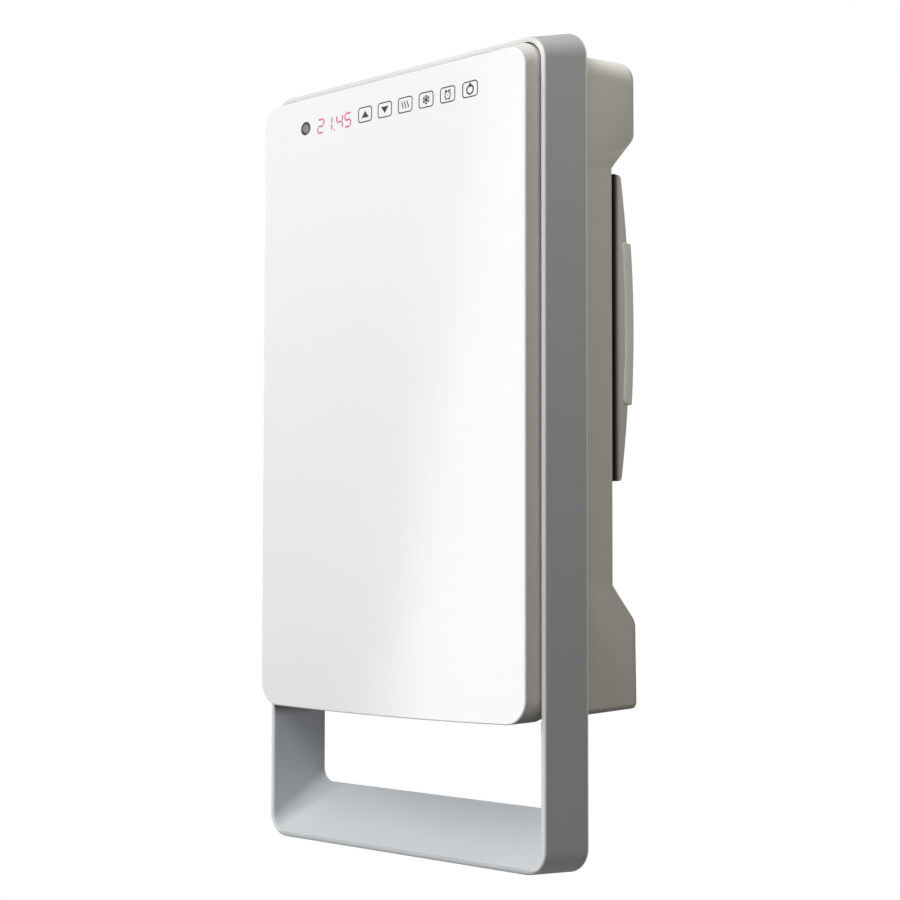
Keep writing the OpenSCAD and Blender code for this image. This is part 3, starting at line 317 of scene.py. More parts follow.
# Gives the material another colour near a place; repeated calls add up. Most calls paint light or shade near edges,
# in gaps and under parts; one gives the lens its lighter middle.
def colourNear(mat, near, centre, axes, start, end):
    tree = mat.node_tree
    effect = next(n for n in tree.nodes if n.type == "GROUP" and "Roughness" in n.outputs)
    color = effect.inputs["Color"]
    turn = newNode(tree, "ShaderNodeGroup",
                   {"Near": (*near, 1), "Far": color.default_value, "Centre": [c * mm for c in centre],
                    "Axes": axes, "Start": start * mm, "End": end * mm}, nearColour)
    if color.is_linked:
        tree.links.new(color.links[0].from_socket, turn.inputs["Far"])
    tree.links.new(turn.outputs["Color"], color)


whiteGloss = plastic("whiteGloss", (0.88, 0.875, 0.875), rough=0.13, grain=300, drift=0.015, relief=0.02,
                     specular=0.6)
coverGrey = plastic("coverGrey", (0.68, 0.643, 0.561), rough=0.42)
housingGrey = plastic("housingGrey", (0.68, 0.643, 0.561), rough=0.42)
trayGrey = plastic("trayGrey", (0.71, 0.67, 0.585), rough=0.42)
gripGrey = plastic("gripGrey", (0.88, 0.85, 0.775), rough=0.4)
frameGrey = plastic("frameGrey", (0.494, 0.493, 0.489), rough=0.42, relief=0.12, specular=0.42)
# The rail liner is paler than the frame: in part its own tone, in part painted light on the rail's upward face.
railGrey = plastic("railGrey", (0.68, 0.712, 0.738), rough=0.36, relief=0.1)
darkPlastic = plastic("darkPlastic", (0.02, 0.02, 0.02), rough=0.5)
ductPlastic = plastic("ductPlastic", (0.06, 0.06, 0.062), rough=0.5)
whiteNylon = plastic("whiteNylon", (0.7, 0.7, 0.67), rough=0.5)
ivoryFrame = plastic("ivoryFrame", (0.62, 0.57, 0.45), rough=0.6)
softRubber = plastic("softRubber", (0.015, 0.015, 0.016), rough=0.7, grain=500, relief=0.3)
tapeFoam = plastic("tapeFoam", (0.03, 0.03, 0.03), rough=0.9, grain=1500, relief=0.6)
boardGreen = plastic("boardGreen", (0.01, 0.08, 0.03), rough=0.3, grain=2500, drift=0.3)
partGrey = plastic("partGrey", (0.09, 0.09, 0.1), rough=0.45, drift=0.2)
symbolInk = plastic("symbolInk", (0.035, 0.035, 0.037), rough=0.4, grain=1500)
digitRed = plastic("digitRed", (0.58, 0.12, 0.24), rough=0.5, grain=1500, emission=0.1)
lensDark = plastic("lensDark", (0.04, 0.04, 0.043), rough=0.2, grain=700, drift=0.4, specular=0.6)
wireRed = plastic("wireRed", (0.3, 0.01, 0.01), rough=0.4)
wireBlue = plastic("wireBlue", (0.01, 0.03, 0.2), rough=0.4)
wireBrown = plastic("wireBrown", (0.1, 0.035, 0.012), rough=0.4)
flatCable = plastic("flatCable", (0.6, 0.6, 0.6), rough=0.4)
zincSteel = metal("zincSteel", (0.62, 0.63, 0.65), rough=0.38)
shaftSteel = metal("shaftSteel", (0.6, 0.6, 0.61), rough=0.22)
motorSteel = metal("motorSteel", (0.35, 0.35, 0.36), rough=0.4, stretch=(900, 60, 60))
bushBronze = metal("bushBronze", (0.55, 0.34, 0.14), rough=0.35)
coreAluminium = metal("coreAluminium", (0.72, 0.72, 0.73), rough=0.32, stretch=(900, 900, 40))

# Painted light and shade near edges, in gaps and under parts, and the lens's lighter middle, each a colour near a
# place.
paintedLightShadeAndLensTones = [  # material, near colour, centre, axes that count, and the distances where it starts and ends to fade
    # painted light: the cover paler along its top, where light falls from above
    (coverGrey, (0.72, 0.708, 0.69), (0, 0, 20), (0, 0, 1), 7, 20),
    # painted light: the cover's skirt pale in the narrow gap behind the frame's front edge
    (coverGrey, (0.97, 0.94, 0.87), (0, -129, 0), (0, 1, 0), 1.2, 2.2),
    # painted shade: the cover dark along its bottom edge and underside
    (coverGrey, (0.17, 0.16, 0.145), (0, 0, -490), (0, 0, 1), 2, 16),
    # painted light: the housing's top paler, where light falls from above
    (housingGrey, (0.94, 0.92, 0.86), (0, 0, 36), (0, 0, 1), 8, 32),
    # painted shade: the housing's foot dark along its bottom edge, which faces down
    (housingGrey, (0.17, 0.16, 0.145), (0, 0, -488.5), (0, 0, 1), 2, 9),
    # painted shade: the housing darker towards its rear vertical edges, on both sides
    (housingGrey, (0.3, 0.285, 0.245), (-142.8, 1, 0), (1, 1, 0), 2, 16),
    (housingGrey, (0.3, 0.285, 0.245), (142.8, 1, 0), (1, 1, 0), 2, 16),
    # painted shade: the cassette dark at its front, in the groove against the housing
    (trayGrey, (0.025, 0.022, 0.016), (0, -36, 0), (0, 1, 0), 0.8, 7.6),
    # painted highlight: the frame's front lip lighter
    (frameGrey, (0.78, 0.785, 0.78), (0, -131, 0), (0, 1, 0), 1.6, 2.0),
    # painted light: the frame's inner face pale near its front top edge, in the gap over the panel
    (frameGrey, (0.635, 0.64, 0.635), (0, -131, 21), (0, 1, 1), 2.5, 6),
    # painted highlight: a light line along the frame's back edge
    (frameGrey, (0.95, 0.96, 0.95), (0, -75.6, 0), (0, 1, 0), 1.7, 2.1),
    # painted light: the frame lighter round its front bottom edge
    (frameGrey, (0.54, 0.555, 0.565), (0, -131, -601), (0, 1, 1), 5, 8),
    # painted shadow: the rail liner's leg tops dark just below the panel, as cast by it
    (railGrey, (0.1, 0.1, 0.105), (0, 0, -484), (0, 0, 1), 4, 17),
    (lensDark, (0.24, 0.235, 0.24), (-91.4, 0, -12.4), (1, 0, 1), 2.8, 4.2),
]
for tone in paintedLightShadeAndLensTones:
    colourNear(*tone)

nodeFinishes = {
    "panel_tape": tapeFoam, "frame_screws": zincSteel, "cover_screws": zincSteel, "outlet_grille": darkPlastic,
    "inlet_grille": darkPlastic, "filter_mesh": darkPlastic, "wall_bracket": zincSteel, "cable_grommet": softRubber,
    "terminal_block": whiteNylon, "fan_scroll": ductPlastic, "scroll_screws": zincSteel, "fan_wheel": darkPlastic,
    "fan_shaft": shaftSteel, "fan_bush": bushBronze, "fan_motor": motorSteel, "motor_ring": softRubber,
    "motor_screws": zincSteel, "heating_core": coreAluminium, "core_frame": ivoryFrame,
    "thermal_cutout": darkPlastic, "temperature_probe": darkPlastic, "power_board": boardGreen,
    "board_parts": partGrey, "buzzer": darkPlastic, "board_screws": zincSteel, "touch_board": boardGreen,
    "touch_screws": zincSteel, "touch_pads": tapeFoam, "display_module": darkPlastic, "sensor_lens": lensDark,
    "sensor_can": zincSteel, "ribbon_cable": flatCable, "heater_leads": wireRed, "motor_lead": wireBlue,
    "mains_leads": wireBrown}
for name, mat in nodeFinishes.items():
    if name in nodes:
        nodes[name].data.materials.clear()
        nodes[name].data.materials.append(mat)
print("finishes made")


# Mesh helpers.
past = 1.0  # how far a cutting tool stands out beyond the face where it enters


# A closed strip of rings: quads join ring k to ring k+1 point by point; the ends are capped or joined up.
def ringFaces(m, n, wrap=False, capStart=False, capEnd=False):
    k = np.arange(m if wrap else m - 1)[:, None]
    i = np.arange(n)[None, :]
    a = k * n + i
    b = k * n + (i + 1) % n
    c = ((k + 1) % m) * n + (i + 1) % n
    d = ((k + 1) % m) * n + i
    faces = np.stack([a, b, c, d], -1).reshape(-1, 4).tolist()
    if capStart:
        faces.append(list(range(n))[::-1])
    if capEnd:
        faces.append(list(range((m - 1) * n, m * n)))
    return faces


def newPiece(name, points, faces, sharp=32):
    mesh = bpy.data.meshes.new(name)
    mesh.from_pydata((np.asarray(points, float).reshape(-1, 3) * mm).tolist(), [], faces)
    obj = bpy.data.objects.new(name, mesh)
    bpy.context.collection.objects.link(obj)
    tidyNormals(mesh, sharp)
    return obj


# Merges doubled points, turns the faces outwards, and shades smoothly below the sharp angle.
def tidyNormals(mesh, sharp=32):
    bm = bmesh.new()
    bm.from_mesh(mesh)
    bmesh.ops.remove_doubles(bm, verts=bm.verts, dist=1e-6)
    bmesh.ops.recalc_face_normals(bm, faces=bm.faces)
    bm.to_mesh(mesh)
    bm.free()
    mesh.polygons.foreach_set("use_smooth", np.ones(len(mesh.polygons), bool))
    mesh.set_sharp_from_angle(angle=math.radians(sharp))
    mesh.update()


# Adds to or cuts from a piece with other closed meshes, which are used up.
def carve(obj, tools, operation="DIFFERENCE"):
    for tool in tools:
        m = obj.modifiers.new("carve", "BOOLEAN")
        m.operation, m.object, m.solver = operation, tool, "EXACT"
    bpy.context.view_layer.update()
    ready = obj.evaluated_get(bpy.context.evaluated_depsgraph_get())
    mesh = bpy.data.meshes.new_from_object(ready)
    obj.modifiers.clear()
    obj.data = mesh
    for tool in tools:
        bpy.data.objects.remove(tool, do_unlink=True)
    tidyNormals(mesh)
    return obj


# One piece from several (points, faces) parts.
def joined(name, parts):
    verts, faces, start = [], [], 0
    for points, polys in parts:
        verts.append(np.asarray(points, float).reshape(-1, 3))
        faces += [[i + start for i in f] for f in polys]
        start += len(verts[-1])
    return newPiece(name, np.concatenate(verts), faces)


# A box between two values of x, of y and of z.
def boxPart(x, y, z):
    c = np.array([[x[i], y[j], z[k]] for k in (0, 1) for i, j in ((0, 0), (1, 0), (1, 1), (0, 1))])
    return c, ringFaces(2, 4, capStart=True, capEnd=True)


# A round rod: a circle of radius r, stood off along the axis from a to b.
def rodPart(axis, u, v, r, a, b, steps=40):
    t = np.linspace(0, 2 * np.pi, steps, endpoint=False)
    ring = np.stack([u + r * np.cos(t), v + r * np.sin(t)], -1)
    rings = []
    for s in (a, b):
        col = np.full((steps, 1), float(s))
        rings.append(np.hstack([col, ring]) if axis == "x" else
                     np.hstack([ring[:, :1], col, ring[:, 1:]]) if axis == "y" else np.hstack([ring, col]))
    return np.concatenate(rings), ringFaces(2, steps, capStart=True, capEnd=True)


# A rounded rectangle in X and Z: straight sides between four quarter circles, all with the same point count.
def roundLoop(hw, top, bottom, rTop, rBottom, steps=14, side=1):
    a = np.linspace(0, np.pi / 2, steps + 1)
    out = []
    for cx, cz, r, a0 in ((hw - rTop, top - rTop, rTop, 0), (-hw + rTop, top - rTop, rTop, np.pi / 2),
                          (-hw + rBottom, bottom + rBottom, rBottom, np.pi),
                          (hw - rBottom, bottom + rBottom, rBottom, 1.5 * np.pi)):
        out.append(np.stack([cx + r * np.cos(a0 + a), cz + r * np.sin(a0 + a)], -1))
    loop = []
    for k in range(4):
        loop.append(out[k])
        nxt = out[(k + 1) % 4][0]
        s = np.linspace(0, 1, side + 1)[1:-1][:, None]
        loop.append(out[k][-1] * (1 - s) + nxt * s)
    return np.concatenate(loop)


# The (x, z) points of a loop, set at depth y.
def onPlane(loop, y):
    return np.stack([loop[:, 0], np.full(len(loop), float(y)), loop[:, 1]], -1)


# Front panel.
panel = dict(hw=141.2, top=12.0, bottom=-488.0, topCorner=16.0, corner=18.5, cornerGrow=0.16, face=-147.0,
             edge=0.8, flat=(1.2, 0.3), seam=-146.1, rim=1.3, back=-143.05, bow=2.1, lensX=-91.4, lensZ=-12.4,
             lensR=5.6)


# The panel's outline in plane y, drawn in by an inset and raised along its top by a flare. Its lower edge hangs down
# by bow * (1 - (x / half width)^2), which fades out over the lower corners.
def panelRing(v, y, inset, flare=0.0):
    loop = roundLoop(v["hw"] - inset, v["top"] + flare - inset, v["bottom"] + inset,
                     v["topCorner"] + v["cornerGrow"] * flare - inset, v["corner"] - inset, steps=16, side=12)
    share = np.clip((v["bottom"] + v["corner"] - loop[:, 1]) / v["corner"], 0, 1)
    loop[:, 1] -= v["bow"] * share * (1 - (loop[:, 0] / v["hw"]) ** 2)
    return onPlane(loop, y)


# Rings of the panel's outline, as (depth, inset) steps: the flat face, a bevel whose depth and inset add up to the
# edge's width, its rows crowded outwards as sin a does, and the rim that goes back from the seam.
def makePanelFace(v):
    e = v["edge"]
    steps = [(v["face"], e + more) for more in v["flat"]]
    steps += [(v["face"] + e * f, e * (1 - f)) for f in np.sin(np.linspace(0, np.pi / 2, 8))]
    steps += [(v["seam"], 0.0), (v["seam"], v["rim"]), (v["back"], v["rim"])]
    rings = [panelRing(v, y, inset) for y, inset in steps]
    piece = newPiece("panelFace", np.concatenate(rings),
                     ringFaces(len(rings), len(rings[0]), capStart=True, capEnd=True))
    hole = rodPart("y", v["lensX"], v["lensZ"], v["lensR"], v["face"] - 2 * past, v["back"] + 2 * past, 64)
    return carve(piece, [joined("lensHole", [hole])])


panelFace = makePanelFace(panel)
panelFace.data.materials.append(whiteGloss)
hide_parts("front_panel")
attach(panelFace, "heater")

# Front cover.
cover = dict(wall=2.5, front=-142.4, back=-117.3, inside=-139.9, gap=0.05, seamGap=0.02, flare=7.1,
             flareEnd=-130.95,
             flareSteps=((-143.0, 0.16), (-137.0, 0.6)), backRound=((-0.5, 0.0), (-0.15, 0.1), (0.0, 0.45)),
             tongueHw=140.0, tongueBottom=-483.0, tongueTop=9.5, tongueR=17.5,
             tongueSteps=((-121.3, 0.0, 0.1), (-118.2, 0.0, 0.1), (-118.2, 0.0, 0.0), (-111.4, 0.0, 0.0),
                          (-111.0, 0.5, 0.0), (-111.0, 1.6, 0.0), (-118.2, 1.6, 0.0), (-121.3, 3.2, 0.0)),
             foot=0.7, postX=126.8, postZ=(-337.2, -225.13, -95.06), postR=5.0, postEnd=-107.3, postHole=(1.8, 14),
             standX=(-97.0, 41.0), standZ=(-248.13, -142.13), standR=3.4, standEnd=-127.9, standHole=(1.55, 7),
             touchX=110.2, touchHole=(1.55, 1.8), windowHw=104.2, windowZ=(-27.4, 0.6))


# The tongue's outline at depth y: a rounded rectangle, drawn in by an inset or grown a little.
def tongueRing(v, y, inset, grow):
    r = v["tongueR"] - inset
    return onPlane(roundLoop(v["tongueHw"] - inset + grow, v["tongueTop"] - inset + grow,
                             v["tongueBottom"] + inset - grow, r, r, 16), y)


# Rings of the panel's outline, as (depth, inset, share of the flare) steps: a rim round the panel, the skirt back to
# the joint, and the inner face. A tongue that goes into the housing, posts and stands are added, then drilled.
def makeCoverShell(v, p):
    w, rim = v["wall"], p["rim"] + v["gap"]
    steps = [(v["front"], rim, 0), (p["seam"] + v["gap"], rim, 0), (p["seam"] + v["seamGap"], 0.0, 0)]
    steps += [(y, 0.0, share) for y, share in v["flareSteps"]] + [(v["flareEnd"], 0.0, 1)]
    steps += [(v["back"] + y, inset, 1) for y, inset in v["backRound"]]
    steps += [(v["back"], w, 1), (v["flareEnd"], w, 1), (v["inside"], w, 0)]
    rings = [panelRing(p, y, inset, share * v["flare"]) for y, inset, share in steps]
    shell = newPiece("coverShell", np.concatenate(rings),
                     ringFaces(len(rings), len(rings[0]), capStart=True, capEnd=True))
    tongue = [tongueRing(v, *step) for step in v["tongueSteps"]]
    tonguePart = (np.concatenate(tongue), ringFaces(len(tongue), len(tongue[0]), wrap=True))
    posts = [(s * v["postX"], z) for s in (-1, 1) for z in v["postZ"]]
    stands = [(x, z) for x in v["standX"] for z in v["standZ"]]
    base = v["inside"] - v["foot"]
    rods = [rodPart("y", x, z, v["postR"], base, v["postEnd"]) for x, z in posts]
    rods += [rodPart("y", x, z, v["standR"], base, v["standEnd"], 28) for x, z in stands]
    carve(shell, [joined("tongue", [tonguePart]), joined("posts", rods)], "UNION")
    r, deep = v["postHole"]
    holes = [rodPart("y", x, z, r, v["postEnd"] - deep, v["postEnd"] + past, 24) for x, z in posts]
    r, deep = v["standHole"]
    holes += [rodPart("y", x, z, r, v["standEnd"] - deep, v["standEnd"] + past, 20) for x, z in stands]
    r, deep = v["touchHole"]
    holes += [rodPart("y", s * v["touchX"], p["lensZ"], r, v["inside"] - deep, v["inside"] + past, 20)
              for s in (-1, 1)]
    holes.append(boxPart((-v["windowHw"], v["windowHw"]), (v["front"] - past, v["inside"] + past), v["windowZ"]))
    return carve(shell, [joined("coverHoles", holes)])


coverShell = makeCoverShell(cover, panel)
coverShell.data.materials.append(coverGrey)
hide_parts("front_cover")
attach(coverShell, "heater")
print("panel and cover made")

# Towel frame.
band = dict(front=dict(y=-130.8, hw=146.6, top=22.75, bottom=-598.3, rTop=19.5, rBottom=18.5),
            back=dict(y=-75.8, hw=144.85, top=39.25, bottom=-603.8, rTop=21.5, rBottom=20.0),
            wall=3.6, lip=1.6, lipIn=0.7, backRound=((-0.45, 0.0), (-0.28, 0.06), (0.0, 0.34)), backIn=0.3,
            screwY=-96.8, screwZ=(-377.2, -73.06), screwR=2.05, screwReach=(-1.6, 1.4))


# The frame's outline at depth y, drawn in by an inset: its sizes run straight from the front loop to the back loop.
def bandLoop(v, y, inset):
    a, b = v["front"], v["back"]
    t = (y - a["y"]) / (b["y"] - a["y"])
    hw, top, bottom, rTop, rBottom = (a[k] + (b[k] - a[k]) * t for k in ("hw", "top", "bottom", "rTop", "rBottom"))
    return roundLoop(hw - inset, top - inset, bottom + inset, rTop - inset, rBottom - inset)


# A small closed section of (depth, inset) points carried round the frame's outline: quarter circles lead over the
# front lip, and short bevels over the back edge.
def makeFrameBand(v):
    y0, y1, w, c, d = v["front"]["y"], v["back"]["y"], v["wall"], v["lip"], v["lipIn"]
    a = np.linspace(0, np.pi / 2, 6)
    shares = (0.06, 0.25, 0.5, 0.75, 0.94)
    section = [(y0 + c * (1 - np.cos(t)), c * (1 - np.sin(t))) for t in a]
    section += [(y0 + (y1 - y0) * f, 0.0) for f in shares]
    section += [(y1 + y, inset) for y, inset in v["backRound"]]
    section += [(y1, w - v["backIn"]), (y1 - v["backIn"], w)]
    section += [(y0 + (y1 - y0) * f, w) for f in shares[::-1]]
    section += [(y0 + d * (1 - np.cos(t)), w - d * (1 - np.sin(t))) for t in a[::-1]]
    rings = [onPlane(bandLoop(v, y, inset), y) for y, inset in section]
    piece = newPiece("frameBand", np.concatenate(rings), ringFaces(len(rings), len(rings[0]), wrap=True))
    reach, (near, far) = v["front"]["hw"] - w, v["screwReach"]
    holes = [rodPart("x", v["screwY"], z, v["screwR"], s * reach + near, s * reach + far, 24)
             for s in (-1, 1) for z in v["screwZ"]]
    return carve(piece, [joined("frameHoles", holes)])


frameBand = makeFrameBand(band)
frameBand.data.materials.append(frameGrey)
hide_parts("towel_frame")
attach(frameBand, "heater")

# Rail liner.
rail = dict(y0=-130.0, y1=-75.8, legTop=-486.1, skin=0.12, frontIn=0.5, cheek=3.8, rise=38.5, riseMore=3.5,
            frontR=14.7, frontInR=14.4, holeR=12.0, holeGrow=1.2, rearR=16.2, backR=2.2, legRound=0.9, railLean=0.6,
            arcSteps=16, legSteps=10)


# A U from the right leg's top round the rail to the left leg's top, at depth y: the band's inner outline drawn in
# by an inset at the legs and by another at the rail.
def railPath(v, frameValues, y, legIn, railIn, r):
    a, b = frameValues["front"], frameValues["back"]
    t = (y - a["y"]) / (b["y"] - a["y"])
    w = frameValues["wall"] + v["skin"]
    hw = a["hw"] + (b["hw"] - a["hw"]) * t - w - legIn
    bottom = a["bottom"] + (b["bottom"] - a["bottom"]) * t + w + railIn
    q = np.linspace(0, np.pi / 2, v["arcSteps"] + 1)
    leg = np.linspace(0, 1, v["legSteps"] + 1)[:-1]
    across = np.linspace(1, -1, 2 * v["legSteps"] + 1)[1:-1]
    right = np.stack([np.full(len(leg), hw), v["legTop"] + (bottom + r - v["legTop"]) * leg], -1)
    turn = np.stack([hw - r + r * np.cos(q), bottom + r - r * np.sin(q)], -1)
    base = np.stack([(hw - r) * across, np.full(len(across), bottom)], -1)
    half = np.concatenate([right, turn])
    other = half[::-1] * (-1, 1)
    return np.concatenate([half, base, other])


# Rows of (depth, leg inset, rail inset, corner radius). Between the front and the back edge the face is ruled
# straight, and a quarter circle leads into the closed back.
def makeRailLiner(v, frameValues):
    y0, y1, back, start = v["y0"], v["y1"], v["backR"], v["frontIn"]
    rows = [(y0, 0.0, 0.0, v["frontR"]), (y0, start, start, v["frontInR"])]
    slope = (v["rise"] + v["riseMore"]) / (y1 - y0)
    for f in (0.12, 0.25, 0.4, 0.55, 0.7, 0.84, 0.93, 0.955):
        y = y0 + (y1 - y0) * f
        rows.append((y, start + (v["cheek"] - start) * f, start + slope * (y - y0),
                     v["frontInR"] + (v["holeR"] - v["frontInR"]) * f))
    for k in (0.2, 0.45, 0.7, 0.9, 1.0):
        ahead, inward = 1 - np.sin(k * np.pi / 2), 1 - np.cos(k * np.pi / 2)
        railIn = start + slope * (y1 - back - y0) + slope * back * v["railLean"] - back * inward
        rows.append((y1 - back * ahead, v["cheek"] - v["legRound"] * inward, railIn, v["holeR"] + v["holeGrow"] * k))
    rows.append((y1, 0.0, 0.0, v["rearR"]))
    sections = np.stack([np.insert(railPath(v, frameValues, y, legIn, railIn, r), 1, y, axis=1)
                         for y, legIn, railIn, r in rows])
    points = sections.transpose(1, 0, 2)  # one section for each point of the U
    m, n = points.shape[:2]
    return newPiece("railLiner", points.reshape(-1, 3), ringFaces(m, n, capStart=True, capEnd=True))


railLiner = makeRailLiner(rail, band)
railLiner.data.materials.append(railGrey)
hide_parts("rail_liner")
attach(railLiner, "heater")
print("towel frame made")

# Rear housing.
housing = dict(hw=142.8, wall=2.5, split=-117.0, bottom=-485.8, footTop=-426.8, recessBottom=-387.2,
               recess=-41.0, recessTop=-63.06, headBottom=-23.46, wallTop=32.44, splitTop=18.7, slope=6.7,
               footR=4.0, edgeR=8.0, topR=20.0, planR=15.0, underR=5.0, recessEdge=0.8, sideShare=0.6,
               roomAhead=4.0, roomShare=0.8,
               rimOut=dict(inset=1.2, topIn=0.8, rTop=19.0, rBottom=3.0), rimIn=dict(hw=140.3, top=9.8, r=17.8),
               postX=126.8, postZ=(-337.2, -225.13, -95.06), postR=7.0, postY=-107.0, postFloor=5.0, postBore=4.8,
               postHole=1.95, bite=1.0, earX=105.0, earZ=-366.3, earR=4.0, earY=-50.9, earBite=1.5, earHole=1.55,
               earHoleEnd=1.9,
               filterZ=-186.16, railY=-31.2, railHw=136.8, railZ=(109.6, 112.1, 117.5), railT=2.0,
               skinY=-0.8, hookHw=95.0, hookY=-7.0, hookHz=15.5, slotX=35.0, slotHw=13.0, slotZ=(-10.0, -1.4),
               cableX=(-114.0, -82.0), cableY=-12.0, cableZ=-457.8, cableUp=16.0, cableFoot=0.9,
               cableHoleR=7.45, pocketHole=4.0, outletHw=91.5, outletY=(-100.4, -55.4), outletUp=4.0,
               inletHw=110.2, inletY=(-4.0, 0.6), inletZ=(-270.7, -101.6),
               screwX=141.5, screwY=-96.8, screwZ=(-377.2, -73.06), screwHole=2.05, screwReach=3.0)


# Rounds the corners (y, z, radius) of a closed outline with arcs of a fixed number of points, and cuts each
# straight side into a fixed number of steps, so that two outlines of the same corners match point by point.
def roundedOutline(corners, arc=8, side=4):
    c = np.asarray(corners, float)
    k = len(c)
    arcs = []
    for i in range(k):
        a, b, d, r = c[i - 1, :2], c[i, :2], c[(i + 1) % k, :2], max(c[i, 2], 0.02)
        u, w = (a - b) / np.linalg.norm(a - b), (d - b) / np.linalg.norm(d - b)
        half = np.arccos(np.clip(u @ w, -1, 1)) / 2
        middle = b + (u + w) / np.linalg.norm(u + w) * r / np.sin(half)
        s, e = b + u * r / np.tan(half) - middle, b + w * r / np.tan(half) - middle
        a0 = np.arctan2(s[1], s[0])
        sweep = (np.arctan2(e[1], e[0]) - a0 + np.pi) % (2 * np.pi) - np.pi
        t = a0 + sweep * np.linspace(0, 1, arc + 1)
        arcs.append(middle + r * np.stack([np.cos(t), np.sin(t)], -1))
    out = []
    for i in range(k):
        nxt = arcs[(i + 1) % k][0]
        s = np.linspace(0, 1, side + 1)[1:-1][:, None]
        out += [arcs[i], arcs[i][-1] * (1 - s) + nxt * s]
    return np.concatenate(out)


# Each corner moves in by t along both of its sides, as a parallel outline does.
def drawnIn(corners, t):
    c = np.asarray(corners, float)
    k = len(c)
    out = []
    for i in range(k):
        a, b, d = c[i - 1, :2], c[i, :2], c[(i + 1) % k, :2]
        u, w = (b - a) / np.linalg.norm(b - a), (d - b) / np.linalg.norm(d - b)
        m, n = np.array([-u[1], u[0]]), np.array([-w[1], w[0]])
        bulge = u[0] * w[1] - u[1] * w[0]
        q = b + (m + n) * t / (1 + m @ n)
        r = c[i, 2]
        out.append((q[0], q[1], 0 if r <= 0 else max(r - t, 0.5) if bulge > 0 else r + t))
    return out


# The side outline, and the same outline as it stands in the side plane, drawn in by the edge radii.
def housingSides(v, ahead=0.0):
    y0 = v["split"] - ahead
    rise = ahead * math.tan(math.radians(v["slope"]))
    full = [(y0, v["bottom"], 0), (0, v["bottom"], v["footR"]), (0, v["footTop"], v["edgeR"]),
            (v["recess"], v["recessBottom"], 0), (v["recess"], v["recessTop"], 0), (0, v["headBottom"], v["edgeR"]),
            (0, v["wallTop"], v["edgeR"]), (y0, v["splitTop"] - rise, 0)]
    e, p, t, u, r = v["recessEdge"], v["planR"], v["topR"], v["underR"], v["edgeR"] * v["sideShare"]
    lean = (v["recessBottom"] - v["footTop"]) / (0 - v["recess"])
    side = [(y0, v["bottom"] + u, 0), (-p, v["bottom"] + u, v["footR"]), (-p, v["footTop"] - e + p * lean, r),
            (v["recess"] - e, v["recessBottom"] - e, 0), (v["recess"] - e, v["recessTop"] + e, 0),
            (-p, v["headBottom"] + e - p * lean, r), (-p, v["wallTop"] - t, r), (y0, v["splitTop"] - rise - t, 0)]
    return full, side


# From the side plane inwards the outline grows from the side one to the full one as a quarter circle does:
# place = side + (full - side) sin a, x = half width - r (1 - cos a), with r the distance between the two.
def outlineBody(name, hw, full, side, arc=8, edge=8):
    whole, flank = roundedOutline(full, arc), roundedOutline(side, arc)
    r = np.linalg.norm(whole - flank, axis=1)
    a = np.linspace(0, np.pi / 2, edge + 1)[:, None]
    place = flank[None] + (whole - flank)[None] * np.sin(a)[..., None]
    x = hw - r[None] * (1 - np.cos(a))
    right = np.concatenate([x[..., None], place], -1)
    middle = np.stack([np.concatenate([(hw - r)[:, None] * s, whole], 1) for s in (0.5, 0.0, -0.5)])
    rings = np.concatenate([right, middle, right[::-1] * (-1, 1, 1)])
    return newPiece(name, rings.reshape(-1, 3), ringFaces(len(rings), len(whole), capStart=True, capEnd=True))


# The rim at the joint: an outer and an inner rounded rectangle, each at two depths, joined up as a closed section.
def rimPart(v):
    a, b, depths = v["rimOut"], v["rimIn"], (v["split"], v["split"] + v["wall"])
    out = roundLoop(v["hw"] - a["inset"], v["splitTop"] - a["topIn"], v["bottom"] + a["inset"], a["rTop"],
                    a["rBottom"])
    into = roundLoop(b["hw"], b["top"], v["bottom"] + v["wall"], b["r"], b["r"])
    rings = [onPlane(out, y) for y in depths] + [onPlane(into, y) for y in depths[::-1]]
    return np.concatenate(rings), ringFaces(len(rings), len(out), wrap=True)


# Two rails of L section for the cassette, above and below its middle: a web and a lip, each a box.
def railParts(v):
    parts = []
    across = (-v["railHw"], v["railHw"])
    for s in (-1, 1):
        z0, z1, z2 = (v["filterZ"] + s * h for h in v["railZ"])
        parts.append(boxPart(across, (v["recess"] - v["bite"], v["railY"]), sorted((z0, z1))))
        parts.append(boxPart(across, (v["railY"] - v["railT"], v["railY"]), sorted((z0, z2))))
    return parts


